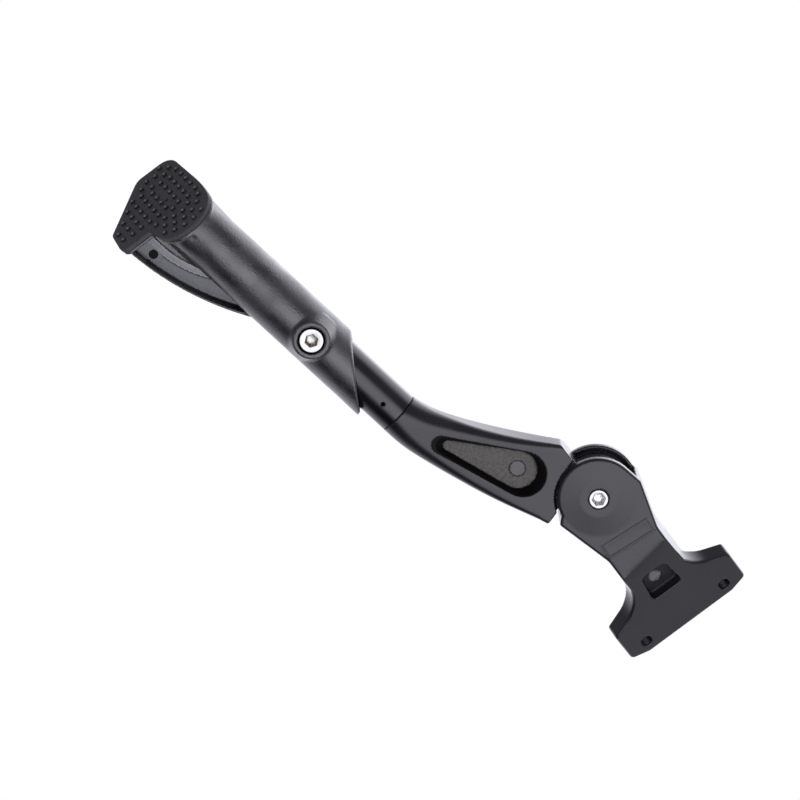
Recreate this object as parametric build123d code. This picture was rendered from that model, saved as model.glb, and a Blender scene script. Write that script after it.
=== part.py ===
"""Adjustable rear kickstand for a bicycle, in millimetres and degrees.

Frame: X forward along the bolt line, Y outward from the wheel, Z up. The origin is midway between the
two bolt holes, on the flat mounting face, whose outward normal is -Y. The swing plane leans outward
from that face by SPLAY and toes in by TOE, so most pieces are drawn in a leg frame with the pivot axis
along its Y and are placed by LEG. The tube has a frame of its own, placed by TUBE, with its axis along Z.
"""
from build123d import *
import os
from math import asin, atan2, cos, degrees, hypot, pi, radians, sin, tan

# Mounting plate
HOLE_SPACING = 40.0
THREAD_R = 2.5
PLATE_THICK = 8.0
PLATE_HALF = 29.4
PLATE_TOP = 6.4
PLATE_FLAT_HALF = 21.3
PLATE_CORNER_DROP = 2.6
PLATE_CORNER_R = 2.0
ARM_DROP = 12.5
ARM_SLOPE = 26.5
ARM_FILLET = 18.0
CAST_EDGE = 0.7

# Bend between the mounting plate and the fork
SPLAY = 30.0
TOE = 5.5
BEND_DROP = 39.4
NECK_LENGTH = 32.6

# Fork
FORK_DEPTH = 23.0
CHEEK_R = 16.8
BACK_CHEEK_EXTRA = 0.7
NECK_HALF = 12.4
FORK_HALF = 19.4
NECK_TAPER_TOP = 24.5
NECK_FILLET = 9.0
REAR_CORNER_Z = 4.5
REAR_TANGENT = 12.0
FRONT_RUN_IN = (14.6, -4.8)
SLOT_WIDTH = 14.4
SLOT_R = 15.0
SLOT_REAR_Z = 2.5
BOSS_HEIGHT = 1.0
BOSS_TOP_R = 7.4

# Weight saving pocket in the mounting plate
POCKET_TOP = 17.1
POCKET_HEIGHT = 14.7
POCKET_HALF_TOP = 7.4
POCKET_HALF_LOW = 5.8
POCKET_DEPTH = 4.2
POCKET_CORNER = 2.2
POCKET_DRAFT = 4.0
EJECTOR_R = 2.65
EJECTOR_SIDE = 0.8

# Blank raised frame on the neck
BADGE_WIDTH = 21.5
BADGE_HEIGHT = 6.2
BADGE_RISE = 0.35
BADGE_LINE = 0.6
BADGE_Z = 20.6
BADGE_TURN = -3.0

# Pivot
PIVOT_R = 4.0
RUNNING_GAP = 0.05
BUSH_WALL = 1.5
SIDE_GAP = 0.3
SOCKET_FLATS = 5.0
SOCKET_DEPTH = 3.2

# Over-centre spring
SPRING_R = 3.0
SPRING_WIRE = 1.2
WIRE_SIDES = 5
SPRING_TURNS = 6
COIL_STEPS = 8
SPRING_CHANNEL_HALF = 3.6
CHANNEL_ROOM = 0.6
HOOK_ROOM = 0.8
SPRING_PIN_R = 2.0
BRACKET_PIN_Z = 28.0
LEG_PIN_R = 9.0
LEG_PIN_ANGLE = -45.0
HOOK_GAP = 0.1
HOOK_STEP = 45

# Leg casting
LEG_CLEARANCE = 0.4
TONGUE_GAP = 0.6
HEEL_X = -0.9
HEEL_TOP = -19.0
HEEL_ANGLE = 75.0
TOP_FACET_Z = -10.6
TOP_FACET_SLOPE = 18.0
LEG_FACE_HALF = 11.2
LEG_EDGES = [2.1, 2.6, 3.6, 5.4, 7.6]
LEG_BACK_EDGES = [11.5, 10.0, 8.4, 8.8, 8.8]
LEG_HEAD_LEAN = 34.0
LEG_BEND_LEAN = 25.0
LEG_NECK_LEAN = 15.5
LEG_MIDDLES = [(4.7, -4.2), (21.3, -29.3), (30.0, -42.2), (38.2, -56.4), (43.5, -67.3)]
LEG_WIDTHS = [36.6, 28.4, 24.3, 20.9, 19.2]
LEG_THIN = 1.8
LEG_SWELL = 1.0
TONGUE_ROOT = 3.0
TONGUE_ROOT_ANGLE = 22.0
TONGUE_TIP_ANGLE = 12.0
LEG_POCKET_BIG_R = 9.4
LEG_POCKET_SMALL_R = 3.7
LEG_POCKET_BIG = (18.6, -26.2)
LEG_POCKET_SMALL = (38.6, -56.1)
LEG_POCKET_DEPTH = 5.6
LEG_POCKET_DRAFT = 1.4
LEG_POCKET_RUNOUT = 3.6
LEG_POCKET_SETBACK = 2.7
LEG_EJECTOR = (19.8, -28.7)
LEG_EJECTOR_R = 3.1
LEG_EJECTOR_RAISE = 0.15

# Tube
SEAM = (46.0, -75.4)
LEG_LEAN = 10.0
TUBE_R = 9.0
TUBE_WALL = 2.0
TUBE_END_GAP = 4.0
TUBE_CHAMFER = 0.35
SPIGOT_LENGTH = 24.0
FIT_GAP = 0.05
DOWEL_R = 1.25
DOWEL_WALL = 0.4
DOWEL_SLIT = 0.5
DOWEL_DROP = 8.35
DOWEL_SINK = 0.3

# Foot
SLEEVE_R = 11.75
SLEEVE_GAP = 0.1
SLEEVE_TIP = 9.5
SLEEVE_CUT = 28.0
SLEEVE_EDGE = 0.5
SLOT_END = 7.0
CLAMP_DROP = 48.2
CLAMP_BOSS_R = 7.6
CLAMP_BOSS_FLARE = 10.9
CLAMP_BOSS_RISE = 1.75
SCREW_R = 3.0
SCREW_HEAD_R = 5.0
SCREW_HEAD = 4.0
SCREW_HEAD_GAP = 0.5
SCREW_LENGTH = 8.5
SCREW_HOLE_GAP = 0.3
NUT_LENGTH = 14.0
NUT_GAP = 0.2

# Sole, on a level plane where the tube axis meets the ground
SOLE_DROP = 123.2
SOLE_THICK = 14.0
PAD_THICK = 2.2
FLARE_START = 93.0
FLARE_INSET = 0.8
FLARE_TAIL = -10.2
FLARE_TAIL_R = 9.0
SOLE_LEFT = -13.6
SOLE_SIDE = 6.0
SOLE_SIDE_R = 60.0
SOLE_FRONT_EXTRA = 0.2
SOLE_FRONT_R = 11.3
SOLE_FRONT_LEFT_R = 13.0
SOLE_TAIL = 32.4
SOLE_TAIL_LEFT = -8.9
SOLE_TAIL_RIGHT = 8.2
SOLE_TAIL_R = 6.5
SOLE_WAIST = 12.9
WING_REACH = 28.5
WING_START = 0.0
WING_END = 12.6
WING_LEAN = 0.6
WING_ROOT_R = 2.0
WING_TIP_R = 3.0
FIN_START = 69.8
FIN_MID = (21.6, 93.8)
FIN_REACH = 26.5
FIN_DEPTH = 9.0
FIN_WEB = 2.5
FIN_RIM = 1.0
FIN_FLOOR = 1.4
RAMP_TOP = 91.2
RAMP_MID = (16.8, 102.2)
RAMP_REACH = 19.0
RAMP_RUN = 4.0

FAR = 200.0
ROUND_SLACK = 0.01
CORNER_FLATS = 3
HALF_DEPTH = FORK_DEPTH / 2
HALF_SLOT = SLOT_WIDTH / 2
TONGUE_HALF = HALF_SLOT - SIDE_GAP
TONGUE_R = SLOT_R - TONGUE_GAP
LEG_ARC_R = CHEEK_R + BACK_CHEEK_EXTRA + LEG_CLEARANCE
BUSH_R = PIVOT_R + RUNNING_GAP + BUSH_WALL
SLEEVE_FLOOR = SOLE_DROP - SOLE_THICK
SOLE_FRONT = SLEEVE_R / cos(radians(SPLAY)) + SOLE_FRONT_EXTRA
TUBE_LENGTH = SLEEVE_FLOOR - TUBE_END_GAP
SLIDE_TRAVEL = TUBE_LENGTH - CLAMP_DROP - SLOT_END
BOLT_TO_PIVOT = (0, NECK_LENGTH * sin(radians(SPLAY)), -BEND_DROP - NECK_LENGTH * cos(radians(SPLAY)))
LEG = Location(BOLT_TO_PIVOT, (SPLAY, 0, TOE)) * Location((0, HALF_DEPTH, 0))
TUBE = Location((SEAM[0], 0, SEAM[1]), (0, -LEG_LEAN, 0))
GROUND = (LEG * TUBE * Location((0, 0, -SOLE_DROP))).position
UP = ((LEG * TUBE).position - GROUND).normalized()
LEG_PIN = (LEG_PIN_R * cos(radians(LEG_PIN_ANGLE)), LEG_PIN_R * sin(radians(LEG_PIN_ANGLE)))


def slab(profile, front, back):
    """Extrude an X-Z profile along Y, from depth front to depth back."""
    return extrude(Plane.XZ.offset(-back) * profile, amount=back - front)


def cross_rod(x, z, radius, front, back):
    """Round bar along Y."""
    return slab(Pos(x, z) * Circle(radius), front, back)


def polygon(*points):
    """Flat face through the given corner points."""
    return make_face(Polyline(*points, close=True))


def mirrored(half):
    """Corner points of a shape drawn on its right half, from the middle line round to the middle line."""
    return half + [(-x, z) for x, z in reversed(half) if x > 0]


def round_corners(face, picks):
    """Round the corners of a face that lie at the given points, each with its radius."""
    for point, radius in picks:
        corner = min(face.vertices(), key=lambda v: hypot(v.X - point[0], v.Y - point[1]))
        face = fillet(corner, radius)
    return face


def faceted(corners):
    """Outline through (point, radius) corners, each rounded by a few flats that touch its arc."""
    points = []
    for k, (point, radius) in enumerate(corners):
        corner = Vector(*point)
        to_last = (Vector(*corners[k - 1][0]) - corner).normalized()
        to_next = (Vector(*corners[(k + 1) % len(corners)][0]) - corner).normalized()
        half = radians(to_last.get_angle(to_next)) / 2
        centre = corner + (to_last + to_next).normalized() * (radius / sin(half))
        first = corner + to_last * (radius / tan(half)) - centre
        step = (180 - 2 * degrees(half)) / (CORNER_FLATS + 1)
        side = 1 if to_last.cross(to_next).Z < 0 else -1
        for flat in range(CORNER_FLATS + 1):
            reach = first.rotate(Axis.Z, side * step * (flat + 0.5))
            points.append(tuple(centre + reach / cos(radians(step / 2)))[:2])
    return polygon(*points)


def hex_socket(flats, depth):
    """Hexagonal recess tool that opens at the origin and runs along +Z."""
    return extrude(RegularPolygon(flats / 2, 6, major_radius=False), amount=depth)


def along_y(shape, x, z, start, outward):
    """Place a shape built on Z so that its Z runs along Y, outward 1 or -1, from depth start."""
    return Plane((x, start, z), x_dir=(1, 0, 0), z_dir=(0, outward, 0)).location * shape


def plate_outline():
    """Outline of the T plate, with sloping arms and a narrow neck."""
    neck_half = NECK_HALF - CAST_EDGE / 2
    corner_z = -ARM_DROP - (PLATE_HALF - neck_half) * tan(radians(ARM_SLOPE))
    half = [
        (0, PLATE_TOP),
        (PLATE_FLAT_HALF, PLATE_TOP),
        (PLATE_HALF, PLATE_TOP - PLATE_CORNER_DROP),
        (PLATE_HALF, -ARM_DROP),
        (neck_half, corner_z),
        (neck_half, -BEND_DROP + CAST_EDGE),
        (0, -BEND_DROP + CAST_EDGE),
    ]
    rounds = [((side * x, z), PLATE_CORNER_R) for side in (1, -1) for x, z in half[2:4]]
    rounds += [((side * neck_half, corner_z), ARM_FILLET) for side in (1, -1)]
    return round_corners(polygon(*mirrored(half)), rounds)


def plate():
    """Flat T plate that bolts to the frame."""
    body = slab(plate_outline(), 0, PLATE_THICK)
    return chamfer(body.faces().sort_by(Axis.Y)[0].edges(), CAST_EDGE)


def fork_profile():
    """Outline of the fork and neck in the leg frame, running straight up into the plate."""
    slope = (FORK_HALF - NECK_HALF) / NECK_TAPER_TOP
    top = NECK_LENGTH + (BEND_DROP - PLATE_TOP) * cos(radians(SPLAY))
    tangent = radians(REAR_TANGENT)
    neck = polygon(
        (FORK_HALF, 0),
        (NECK_HALF, NECK_TAPER_TOP),
        (NECK_HALF, top),
        (-NECK_HALF, top),
        (-NECK_HALF, NECK_TAPER_TOP),
        (-FORK_HALF + slope * REAR_CORNER_Z, REAR_CORNER_Z),
        (-CHEEK_R * cos(tangent), -CHEEK_R * sin(tangent)),
        (0, -CHEEK_R / 2),
        FRONT_RUN_IN,
    )
    bends = [((side * NECK_HALF, NECK_TAPER_TOP), NECK_FILLET) for side in (1, -1)]
    return round_corners(neck, bends) + Circle(CHEEK_R)


def slot_profile():
    """Space between the cheeks: round at the top, open below and to the rear."""
    opening = polygon((-FAR, SLOT_REAR_Z), (0, SLOT_REAR_Z), (FAR, -FAR / 4), (FAR, -FAR), (-FAR, -FAR))
    return opening + Circle(SLOT_R)


def channel_profile():
    """Fan shaped space for the spring as it swings about the upper pin."""
    room = SPRING_R + CHANNEL_ROOM
    return polygon(
        (-LEG_PIN[0] - room, 0),
        (LEG_PIN[0] + room, 0),
        (room, BRACKET_PIN_Z),
        (-room, BRACKET_PIN_Z),
    ) + Pos(0, BRACKET_PIN_Z) * Circle(room + HOOK_ROOM)


def pivot_boss():
    """Shallow cone on the front cheek, with a flat round top."""
    cone = Cone(CHEEK_R - CAST_EDGE, BOSS_TOP_R, BOSS_HEIGHT)
    return along_y(cone, 0, 0, -HALF_DEPTH - BOSS_HEIGHT / 2, -1)


def badge():
    """Thin raised rectangular frame on the front of the neck, left blank."""
    inside = Rectangle(BADGE_WIDTH - 2 * BADGE_LINE, BADGE_HEIGHT - 2 * BADGE_LINE)
    frame = Pos(0, BADGE_Z) * Rot(0, 0, BADGE_TURN) * (Rectangle(BADGE_WIDTH, BADGE_HEIGHT) - inside)
    return slab(frame, -HALF_DEPTH - BADGE_RISE, -HALF_DEPTH)


def plate_pocket():
    """Tapered rounded recess in the mounting face."""
    low = POCKET_TOP + POCKET_HEIGHT
    corners = [
        (POCKET_HALF_TOP, -POCKET_TOP),
        (POCKET_HALF_LOW, -low),
        (-POCKET_HALF_LOW, -low),
        (-POCKET_HALF_TOP, -POCKET_TOP),
    ]
    mouth = round_corners(polygon(*corners), [(c, POCKET_CORNER) for c in corners])
    return extrude(Plane.XZ * mouth, amount=-POCKET_DEPTH, taper=POCKET_DRAFT)


def ejector_mark(depth):
    """Short bar at the round moulding mark on the pocket floor, along the pivot axis, over a depth."""
    floor = Location((0, POCKET_DEPTH, -POCKET_TOP - POCKET_HEIGHT / 2))
    return floor * Location((0, 0, 0), (SPLAY, 0, TOE)) * cross_rod(EJECTOR_SIDE, 0, EJECTOR_R, *depth)


def mount_bracket():
    """Die cast bracket: mounting plate, bent neck and fork in one piece."""
    fork = slab(fork_profile(), -HALF_DEPTH, HALF_DEPTH)
    fork += cross_rod(0, 0, CHEEK_R + BACK_CHEEK_EXTRA, HALF_SLOT, HALF_DEPTH)
    rims = fork.faces().sort_by(Axis.Y)
    fork = chamfer(rims[0].edges() + rims[-1].edges(), CAST_EDGE)
    fork = fork + pivot_boss() + badge()
    behind_face = Pos(0, FAR / 2, 0) * Box(2 * FAR, FAR, 2 * FAR)
    casting = (LEG * fork) & behind_face
    casting = casting + plate()
    casting -= plate_pocket() + ejector_mark((-EJECTOR_R, 0))
    casting += ejector_mark((0, EJECTOR_R))
    hollow = slab(slot_profile(), -HALF_SLOT, HALF_SLOT)
    hollow += slab(channel_profile(), -SPRING_CHANNEL_HALF, SPRING_CHANNEL_HALF)
    hollow += cross_rod(0, 0, PIVOT_R, -FAR, FAR)
    hollow += cross_rod(0, BRACKET_PIN_Z, SPRING_PIN_R, -HALF_SLOT, FAR)
    casting -= LEG * hollow
    for side in (-1, 1):
        casting -= cross_rod(side * HOLE_SPACING / 2, 0, THREAD_R, -FAR, FAR)
    return casting


def pivot_stub(outward, outer):
    """Headless pivot screw with a hexagon socket, one in each cheek, out to a depth."""
    length = outer - SPRING_CHANNEL_HALF
    stub = Pos(0, 0, length / 2) * Cylinder(PIVOT_R, length)
    stub -= Pos(0, 0, length - SOCKET_DEPTH) * hex_socket(SOCKET_FLATS, SOCKET_DEPTH)
    return LEG * along_y(stub, 0, 0, outward * SPRING_CHANNEL_HALF, outward)


def pivot_bush(outward):
    """Plain bush pressed into one arm of the leg's tongue."""
    length = TONGUE_HALF - SPRING_CHANNEL_HALF
    bush = Cylinder(BUSH_R, length) - Cylinder(PIVOT_R + RUNNING_GAP, length)
    return LEG * along_y(bush, 0, 0, outward * (SPRING_CHANNEL_HALF + length / 2), outward)


def leg_sections():
    """Sections of the leg casting from the fork to the seam: middle, lean, width, depth, front and back edge."""
    face = 2 * LEG_FACE_HALF
    seam = 2 * TUBE_R
    neck = seam + LEG_SWELL / 3
    bend = seam + LEG_SWELL
    leans = [LEG_HEAD_LEAN, LEG_HEAD_LEAN, LEG_HEAD_LEAN - 1, LEG_BEND_LEAN, LEG_NECK_LEAN]
    depths = [face, face - LEG_THIN / 3, face - LEG_THIN, bend, neck]
    sections = list(zip(LEG_MIDDLES, leans, LEG_WIDTHS, depths, LEG_EDGES, LEG_BACK_EDGES))
    return sections + [(SEAM, LEG_LEAN, seam, seam, TUBE_R - ROUND_SLACK, TUBE_R - ROUND_SLACK)]


def leg_body():
    """Smooth tapering body of the leg casting, flat sided at the fork and round at the seam."""
    faces = []
    for (x, z), lean, width, depth, edge, back_edge in leg_sections():
        down = (sin(radians(lean)), 0, -cos(radians(lean)))
        across = (cos(radians(lean)), 0, sin(radians(lean)))
        right, back = width / 2, depth / 2
        section = faceted([
            ((right, -back), back_edge),
            ((right, back), edge),
            ((-right, back), edge),
            ((-right, -back), back_edge),
        ])
        faces.append(Plane((x, 0, z), x_dir=across, z_dir=down) * section)
    return loft(faces)


def drop_outline(length, big_r, small_r):
    """Tear drop outline: a large circle at the origin, a small one along X, and the tangents of both."""
    side = asin((big_r - small_r) / length)
    big = (big_r * sin(side), big_r * cos(side))
    small = (length + small_r * sin(side), small_r * cos(side))
    return make_face([
        Line(big, small),
        ThreePointArc(small, (length + small_r, 0), (small[0], -small[1])),
        Line((small[0], -small[1]), (big[0], -big[1])),
        ThreePointArc((big[0], -big[1]), (-big_r, 0), big),
    ])


def leg_pocket():
    """Tapered pocket in the front face of the leg, with draft walls that slope more at both ends."""
    reach = (LEG_POCKET_SMALL[0] - LEG_POCKET_BIG[0], LEG_POCKET_SMALL[1] - LEG_POCKET_BIG[1])
    length = hypot(*reach)
    place = Pos(*LEG_POCKET_BIG) * Rot(0, 0, degrees(atan2(reach[1], reach[0])))
    mouth = place * drop_outline(length, LEG_POCKET_BIG_R, LEG_POCKET_SMALL_R)
    floor_sizes = (LEG_POCKET_BIG_R - LEG_POCKET_DRAFT, LEG_POCKET_SMALL_R - LEG_POCKET_DRAFT)
    floor_length = length - LEG_POCKET_RUNOUT - LEG_POCKET_SETBACK
    floor = place * Pos(LEG_POCKET_SETBACK, 0) * drop_outline(floor_length, *floor_sizes)
    front = Plane.XZ.offset(LEG_FACE_HALF)
    pocket = loft([front * mouth, front.offset(-LEG_POCKET_DEPTH) * floor])
    return pocket + extrude(front * mouth, amount=LEG_FACE_HALF)


def leg_knuckle():
    """Leg casting: forked tongue, flat sided head with a pocket, and a spigot for the tube."""
    lift = tan(radians(TOP_FACET_SLOPE))
    above_facet = polygon(
        (-FAR, TOP_FACET_Z - FAR * lift),
        (FAR, TOP_FACET_Z + FAR * lift),
        (FAR, FAR * 2),
        (-FAR, FAR * 2),
    )
    behind_heel = polygon((-FAR, -FAR), (HEEL_X, -FAR), (HEEL_X, FAR), (-FAR, FAR))
    heel_turn = radians(HEEL_ANGLE)
    heel_cut = polygon(
        (LEG_ARC_R * cos(heel_turn), -LEG_ARC_R * sin(heel_turn)),
        (HEEL_X, HEEL_TOP),
        (-FAR, HEEL_TOP),
        (0, 0),
    )
    fork_room = Circle(LEG_ARC_R) + heel_cut + above_facet + behind_heel
    head = leg_body() - slab(fork_room, -FAR, FAR)
    lean = radians(LEG_HEAD_LEAN)
    tip = radians(TONGUE_TIP_ANGLE)
    root = radians(TONGUE_ROOT_ANGLE)
    tongue_reach = LEG_ARC_R + TONGUE_ROOT
    bridge = polygon(
        (HEEL_X, 0),
        (HEEL_X, -tongue_reach),
        (tongue_reach * sin(lean), -tongue_reach * cos(lean)),
        (tongue_reach * cos(root), -tongue_reach * sin(root)),
        (TONGUE_R * cos(tip), -TONGUE_R * sin(tip)),
    )
    tongue = slab(bridge + Circle(TONGUE_R), -TONGUE_HALF, TONGUE_HALF)
    tongue -= cross_rod(0, 0, SLOT_R, -SPRING_CHANNEL_HALF, SPRING_CHANNEL_HALF)
    tongue -= cross_rod(0, 0, BUSH_R, -FAR, FAR)
    tongue -= cross_rod(*LEG_PIN, SPRING_PIN_R, -FAR, FAR)
    spigot_r = TUBE_R - TUBE_WALL - FIT_GAP
    spigot = Pos(0, 0, -SPIGOT_LENGTH / 2) * Cylinder(spigot_r, SPIGOT_LENGTH)
    spigot -= cross_rod(0, -DOWEL_DROP, DOWEL_R, -FAR, 0)
    floor = -LEG_FACE_HALF + LEG_POCKET_DEPTH
    mark = cross_rod(*LEG_EJECTOR, LEG_EJECTOR_R, floor - LEG_EJECTOR_RAISE, floor + LEG_POCKET_DRAFT)
    return LEG * (head - leg_pocket() + mark + tongue + TUBE * spigot)


def spring_pin(x, z, front, back):
    """Plain pin across the spring channel."""
    return LEG * cross_rod(x, z, SPRING_PIN_R, front, back)


def over_centre_spring():
    """Extension spring from the tongue's pin up to the neck's pin, one wire with a hook at each end."""
    span = hypot(LEG_PIN[0], BRACKET_PIN_Z - LEG_PIN[1])
    wire_r = SPRING_WIRE / 2
    hook_r = (SPRING_PIN_R + HOOK_GAP + wire_r) / cos(radians(HOOK_STEP / 2))
    coil_r = SPRING_R - wire_r
    coil_start = hook_r + 2 * SPRING_WIRE
    hook_turns = [radians(angle) for angle in range(2 * HOOK_STEP, 360 + HOOK_STEP, HOOK_STEP)]
    hook = [(hook_r * sin(turn), hook_r * cos(turn)) for turn in hook_turns]
    turns = [2 * pi * step / COIL_STEPS for step in range(SPRING_TURNS * COIL_STEPS + 1)]
    rise = (span - 2 * coil_start) / turns[-1]
    points = [(0, y, z) for y, z in hook]
    points += [(coil_r * cos(turn), coil_r * sin(turn), coil_start + rise * turn) for turn in turns]
    points += [(0, -y, span - z) for y, z in reversed(hook)]
    path = Polyline(*points)
    wire = Plane(path @ 0, z_dir=path % 0) * RegularPolygon(wire_r, WIRE_SIDES)
    spring = sweep(wire, path=path, transition=Transition.RIGHT)
    axis = (-LEG_PIN[0], 0, BRACKET_PIN_Z - LEG_PIN[1])
    return LEG * Plane((LEG_PIN[0], 0, LEG_PIN[1]), x_dir=(0, 1, 0), z_dir=axis).location * spring


def leg_tube():
    """Straight tube pinned over the spigot, with a long slot for the clamp screw."""
    tube = Pos(0, 0, -TUBE_LENGTH / 2) * Cylinder(TUBE_R, TUBE_LENGTH)
    tube = chamfer(tube.faces().sort_by(Axis.Z)[-1].edges(), TUBE_CHAMFER)
    tube -= Pos(0, 0, -TUBE_LENGTH / 2) * Cylinder(TUBE_R - TUBE_WALL, TUBE_LENGTH)
    half = SCREW_R + SCREW_HOLE_GAP
    top = -CLAMP_DROP
    slot = Pos(0, top) * Circle(half) + Pos(0, top - SLIDE_TRAVEL) * Circle(half)
    slot += Pos(0, top - SLIDE_TRAVEL / 2) * Rectangle(2 * half, SLIDE_TRAVEL)
    tube -= slab(slot, -FAR, 0)
    tube -= cross_rod(0, -DOWEL_DROP, DOWEL_R, -FAR, 0)
    return LEG * TUBE * tube


def tube_dowel():
    """Rolled spring pin with a slit, driven in from the front to lock the tube to the spigot."""
    ring = Circle(DOWEL_R) - Circle(DOWEL_R - DOWEL_WALL)
    ring -= Pos(DOWEL_R, 0) * Rectangle(2 * DOWEL_R, DOWEL_SLIT)
    return LEG * TUBE * slab(Pos(0, -DOWEL_DROP) * ring, -TUBE_R + DOWEL_SINK, 0)


def sole_outline():
    """Outline of the rubber pad about the point where the tube axis meets the ground."""
    corners = [
        ((SOLE_LEFT, SOLE_SIDE), SOLE_SIDE_R),
        ((SOLE_LEFT, -SOLE_FRONT), SOLE_FRONT_LEFT_R),
        ((SOLE_WAIST, -SOLE_FRONT), SOLE_FRONT_R),
        ((SOLE_WAIST + WING_LEAN, WING_START), WING_ROOT_R),
        ((WING_REACH, WING_START), WING_TIP_R),
        ((WING_REACH, WING_END), WING_TIP_R),
        ((SOLE_TAIL_RIGHT, SOLE_TAIL), SOLE_TAIL_R),
        ((SOLE_TAIL_LEFT, SOLE_TAIL), SOLE_TAIL_R),
    ]
    return round_corners(polygon(*[point for point, _ in corners]), corners)


def on_ground(height):
    """Level plane at a height over the ground, centred on the tube axis."""
    return Plane(GROUND + UP * (height / UP.Z))


def sole_layer(inset, low, high):
    """Layer of the sole between two heights, with sides that follow the tube's lean."""
    face = offset(sole_outline(), -inset) if inset else sole_outline()
    return extrude(on_ground(low) * face, amount=(high - low) / UP.Z, dir=UP)


def above(height, side):
    """Half of space over a level plane, or under it with side Align.MAX."""
    return on_ground(height) * Box(4 * FAR, 4 * FAR, 4 * FAR, align=(Align.CENTER, Align.CENTER, side))


def foot_flare():
    """Body that widens from the round sleeve to the level sole, leaning outward."""
    ring = SLEEVE_R - FLARE_INSET
    start = Plane(LEG * TUBE * Location((0, 0, -FLARE_START)))
    square = [(ring, -ring), (ring, ring), (-ring, ring), (-ring, -ring)]
    upper = faceted([(point, ring - ROUND_SLACK) for point in square])
    right = SOLE_WAIST - FLARE_INSET
    front = -SOLE_FRONT + FLARE_INSET
    corners = [
        ((right, front), SOLE_FRONT_R - FLARE_INSET),
        ((right, SOLE_TAIL - ring), ring / 2),
        ((FLARE_TAIL, SOLE_TAIL - FLARE_INSET), FLARE_TAIL_R),
        ((SOLE_LEFT + FLARE_INSET, front), SOLE_FRONT_LEFT_R - FLARE_INSET),
    ]
    lower = faceted(corners)
    return loft([start * upper, on_ground(PAD_THICK) * lower])


def tab_side(top, middle, reach, inset):
    """Side outline of the kick tab in the tube frame, curved from the sleeve out to its reach."""
    start = (SLEEVE_R - inset, -top - inset)
    stop = (reach - inset, -SOLE_DROP)
    arc = ThreePointArc(start, (middle[0] - inset, -middle[1] - inset / 2), stop)
    return make_face([arc, Polyline(stop, (stop[0], -FAR), (0, -FAR), (0, start[1]), start)])


def fin():
    """Hollow kick tab beside the sleeve: a thin rim round a recessed web, and a slope at the sleeve."""
    web = FIN_DEPTH - FIN_WEB
    body = slab(tab_side(FIN_START, FIN_MID, FIN_REACH, 0), 0, FIN_DEPTH)
    hollow = slab(tab_side(FIN_START, FIN_MID, FIN_REACH, FIN_RIM), -FIN_RIM, web)
    foot = Plane.XZ.offset(-web) * tab_side(RAMP_TOP, RAMP_MID, RAMP_REACH, 0)
    hollow -= extrude(foot, amount=hypot(RAMP_RUN, web), dir=(-RAMP_RUN, -web, 0))
    return LEG * TUBE * body - (LEG * TUBE * hollow & above(PAD_THICK + FIN_FLOOR, Align.MIN))


def foot_sleeve():
    """Moulded foot: sliding sleeve with a clamp boss, a flared base and a kick tab."""
    sleeve = Pos(0, 0, -FAR / 2) * Cylinder(SLEEVE_R, FAR)
    boss_top = SLEEVE_R + CLAMP_BOSS_RISE
    boss_root = SLEEVE_R / 2
    boss = Cone(CLAMP_BOSS_FLARE, CLAMP_BOSS_R, boss_top - boss_root)
    low_side = -SLEEVE_TIP - SLEEVE_CUT
    cut = polygon(
        (-FAR, 0),
        (FAR, 0),
        (FAR, -SLEEVE_TIP),
        (SLEEVE_R, -SLEEVE_TIP),
        (-SLEEVE_R, low_side),
        (-FAR, low_side),
    )
    sleeve -= slab(cut, -FAR, FAR)
    sleeve = chamfer(sleeve.faces().sort_by(Axis.Z)[-1].edges(), SLEEVE_EDGE)
    sleeve += along_y(boss, 0, -CLAMP_DROP, -(boss_root + boss_top) / 2, -1)
    foot = LEG * TUBE * sleeve + foot_flare() + fin() + sole_layer(FIT_GAP, 0, PAD_THICK + FIN_FLOOR)
    foot -= above(PAD_THICK, Align.MAX)
    bore = Pos(0, 0, -SLEEVE_FLOOR / 2) * Cylinder(TUBE_R + SLEEVE_GAP, SLEEVE_FLOOR)
    bore += cross_rod(0, -CLAMP_DROP, SCREW_R + SCREW_HOLE_GAP, -FAR, 0)
    bore += cross_rod(0, -CLAMP_DROP, SCREW_HEAD_R + SCREW_HEAD_GAP, -FAR, -boss_top + SCREW_HEAD)
    return foot - LEG * TUBE * bore


def sole_pad():
    """Rubber pad under the foot."""
    return sole_layer(0, 0, PAD_THICK)


def clamp_screw():
    """Low head cap screw with a hexagon socket."""
    head = Pos(0, 0, SCREW_HEAD / 2) * Cylinder(SCREW_HEAD_R, SCREW_HEAD)
    head -= Pos(0, 0, SCREW_HEAD - SOCKET_DEPTH) * hex_socket(SOCKET_FLATS, SOCKET_DEPTH)
    screw = head + Pos(0, 0, -SCREW_LENGTH / 2) * Cylinder(SCREW_R, SCREW_LENGTH)
    seat = SLEEVE_R + CLAMP_BOSS_RISE - SCREW_HEAD
    return LEG * TUBE * along_y(screw, 0, -CLAMP_DROP, -seat, -1)


def clamp_nut():
    """Half round nut that slides inside the tube and pulls it against the sleeve."""
    radius = TUBE_R - TUBE_WALL - NUT_GAP
    nut = Pos(0, 0, -CLAMP_DROP) * Cylinder(radius, NUT_LENGTH)
    nut &= Pos(0, -FAR / 2, -CLAMP_DROP) * Box(FAR, FAR, NUT_LENGTH)
    nut -= cross_rod(0, -CLAMP_DROP, SCREW_R + FIT_GAP, -FAR, FAR)
    return LEG * TUBE * nut


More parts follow.
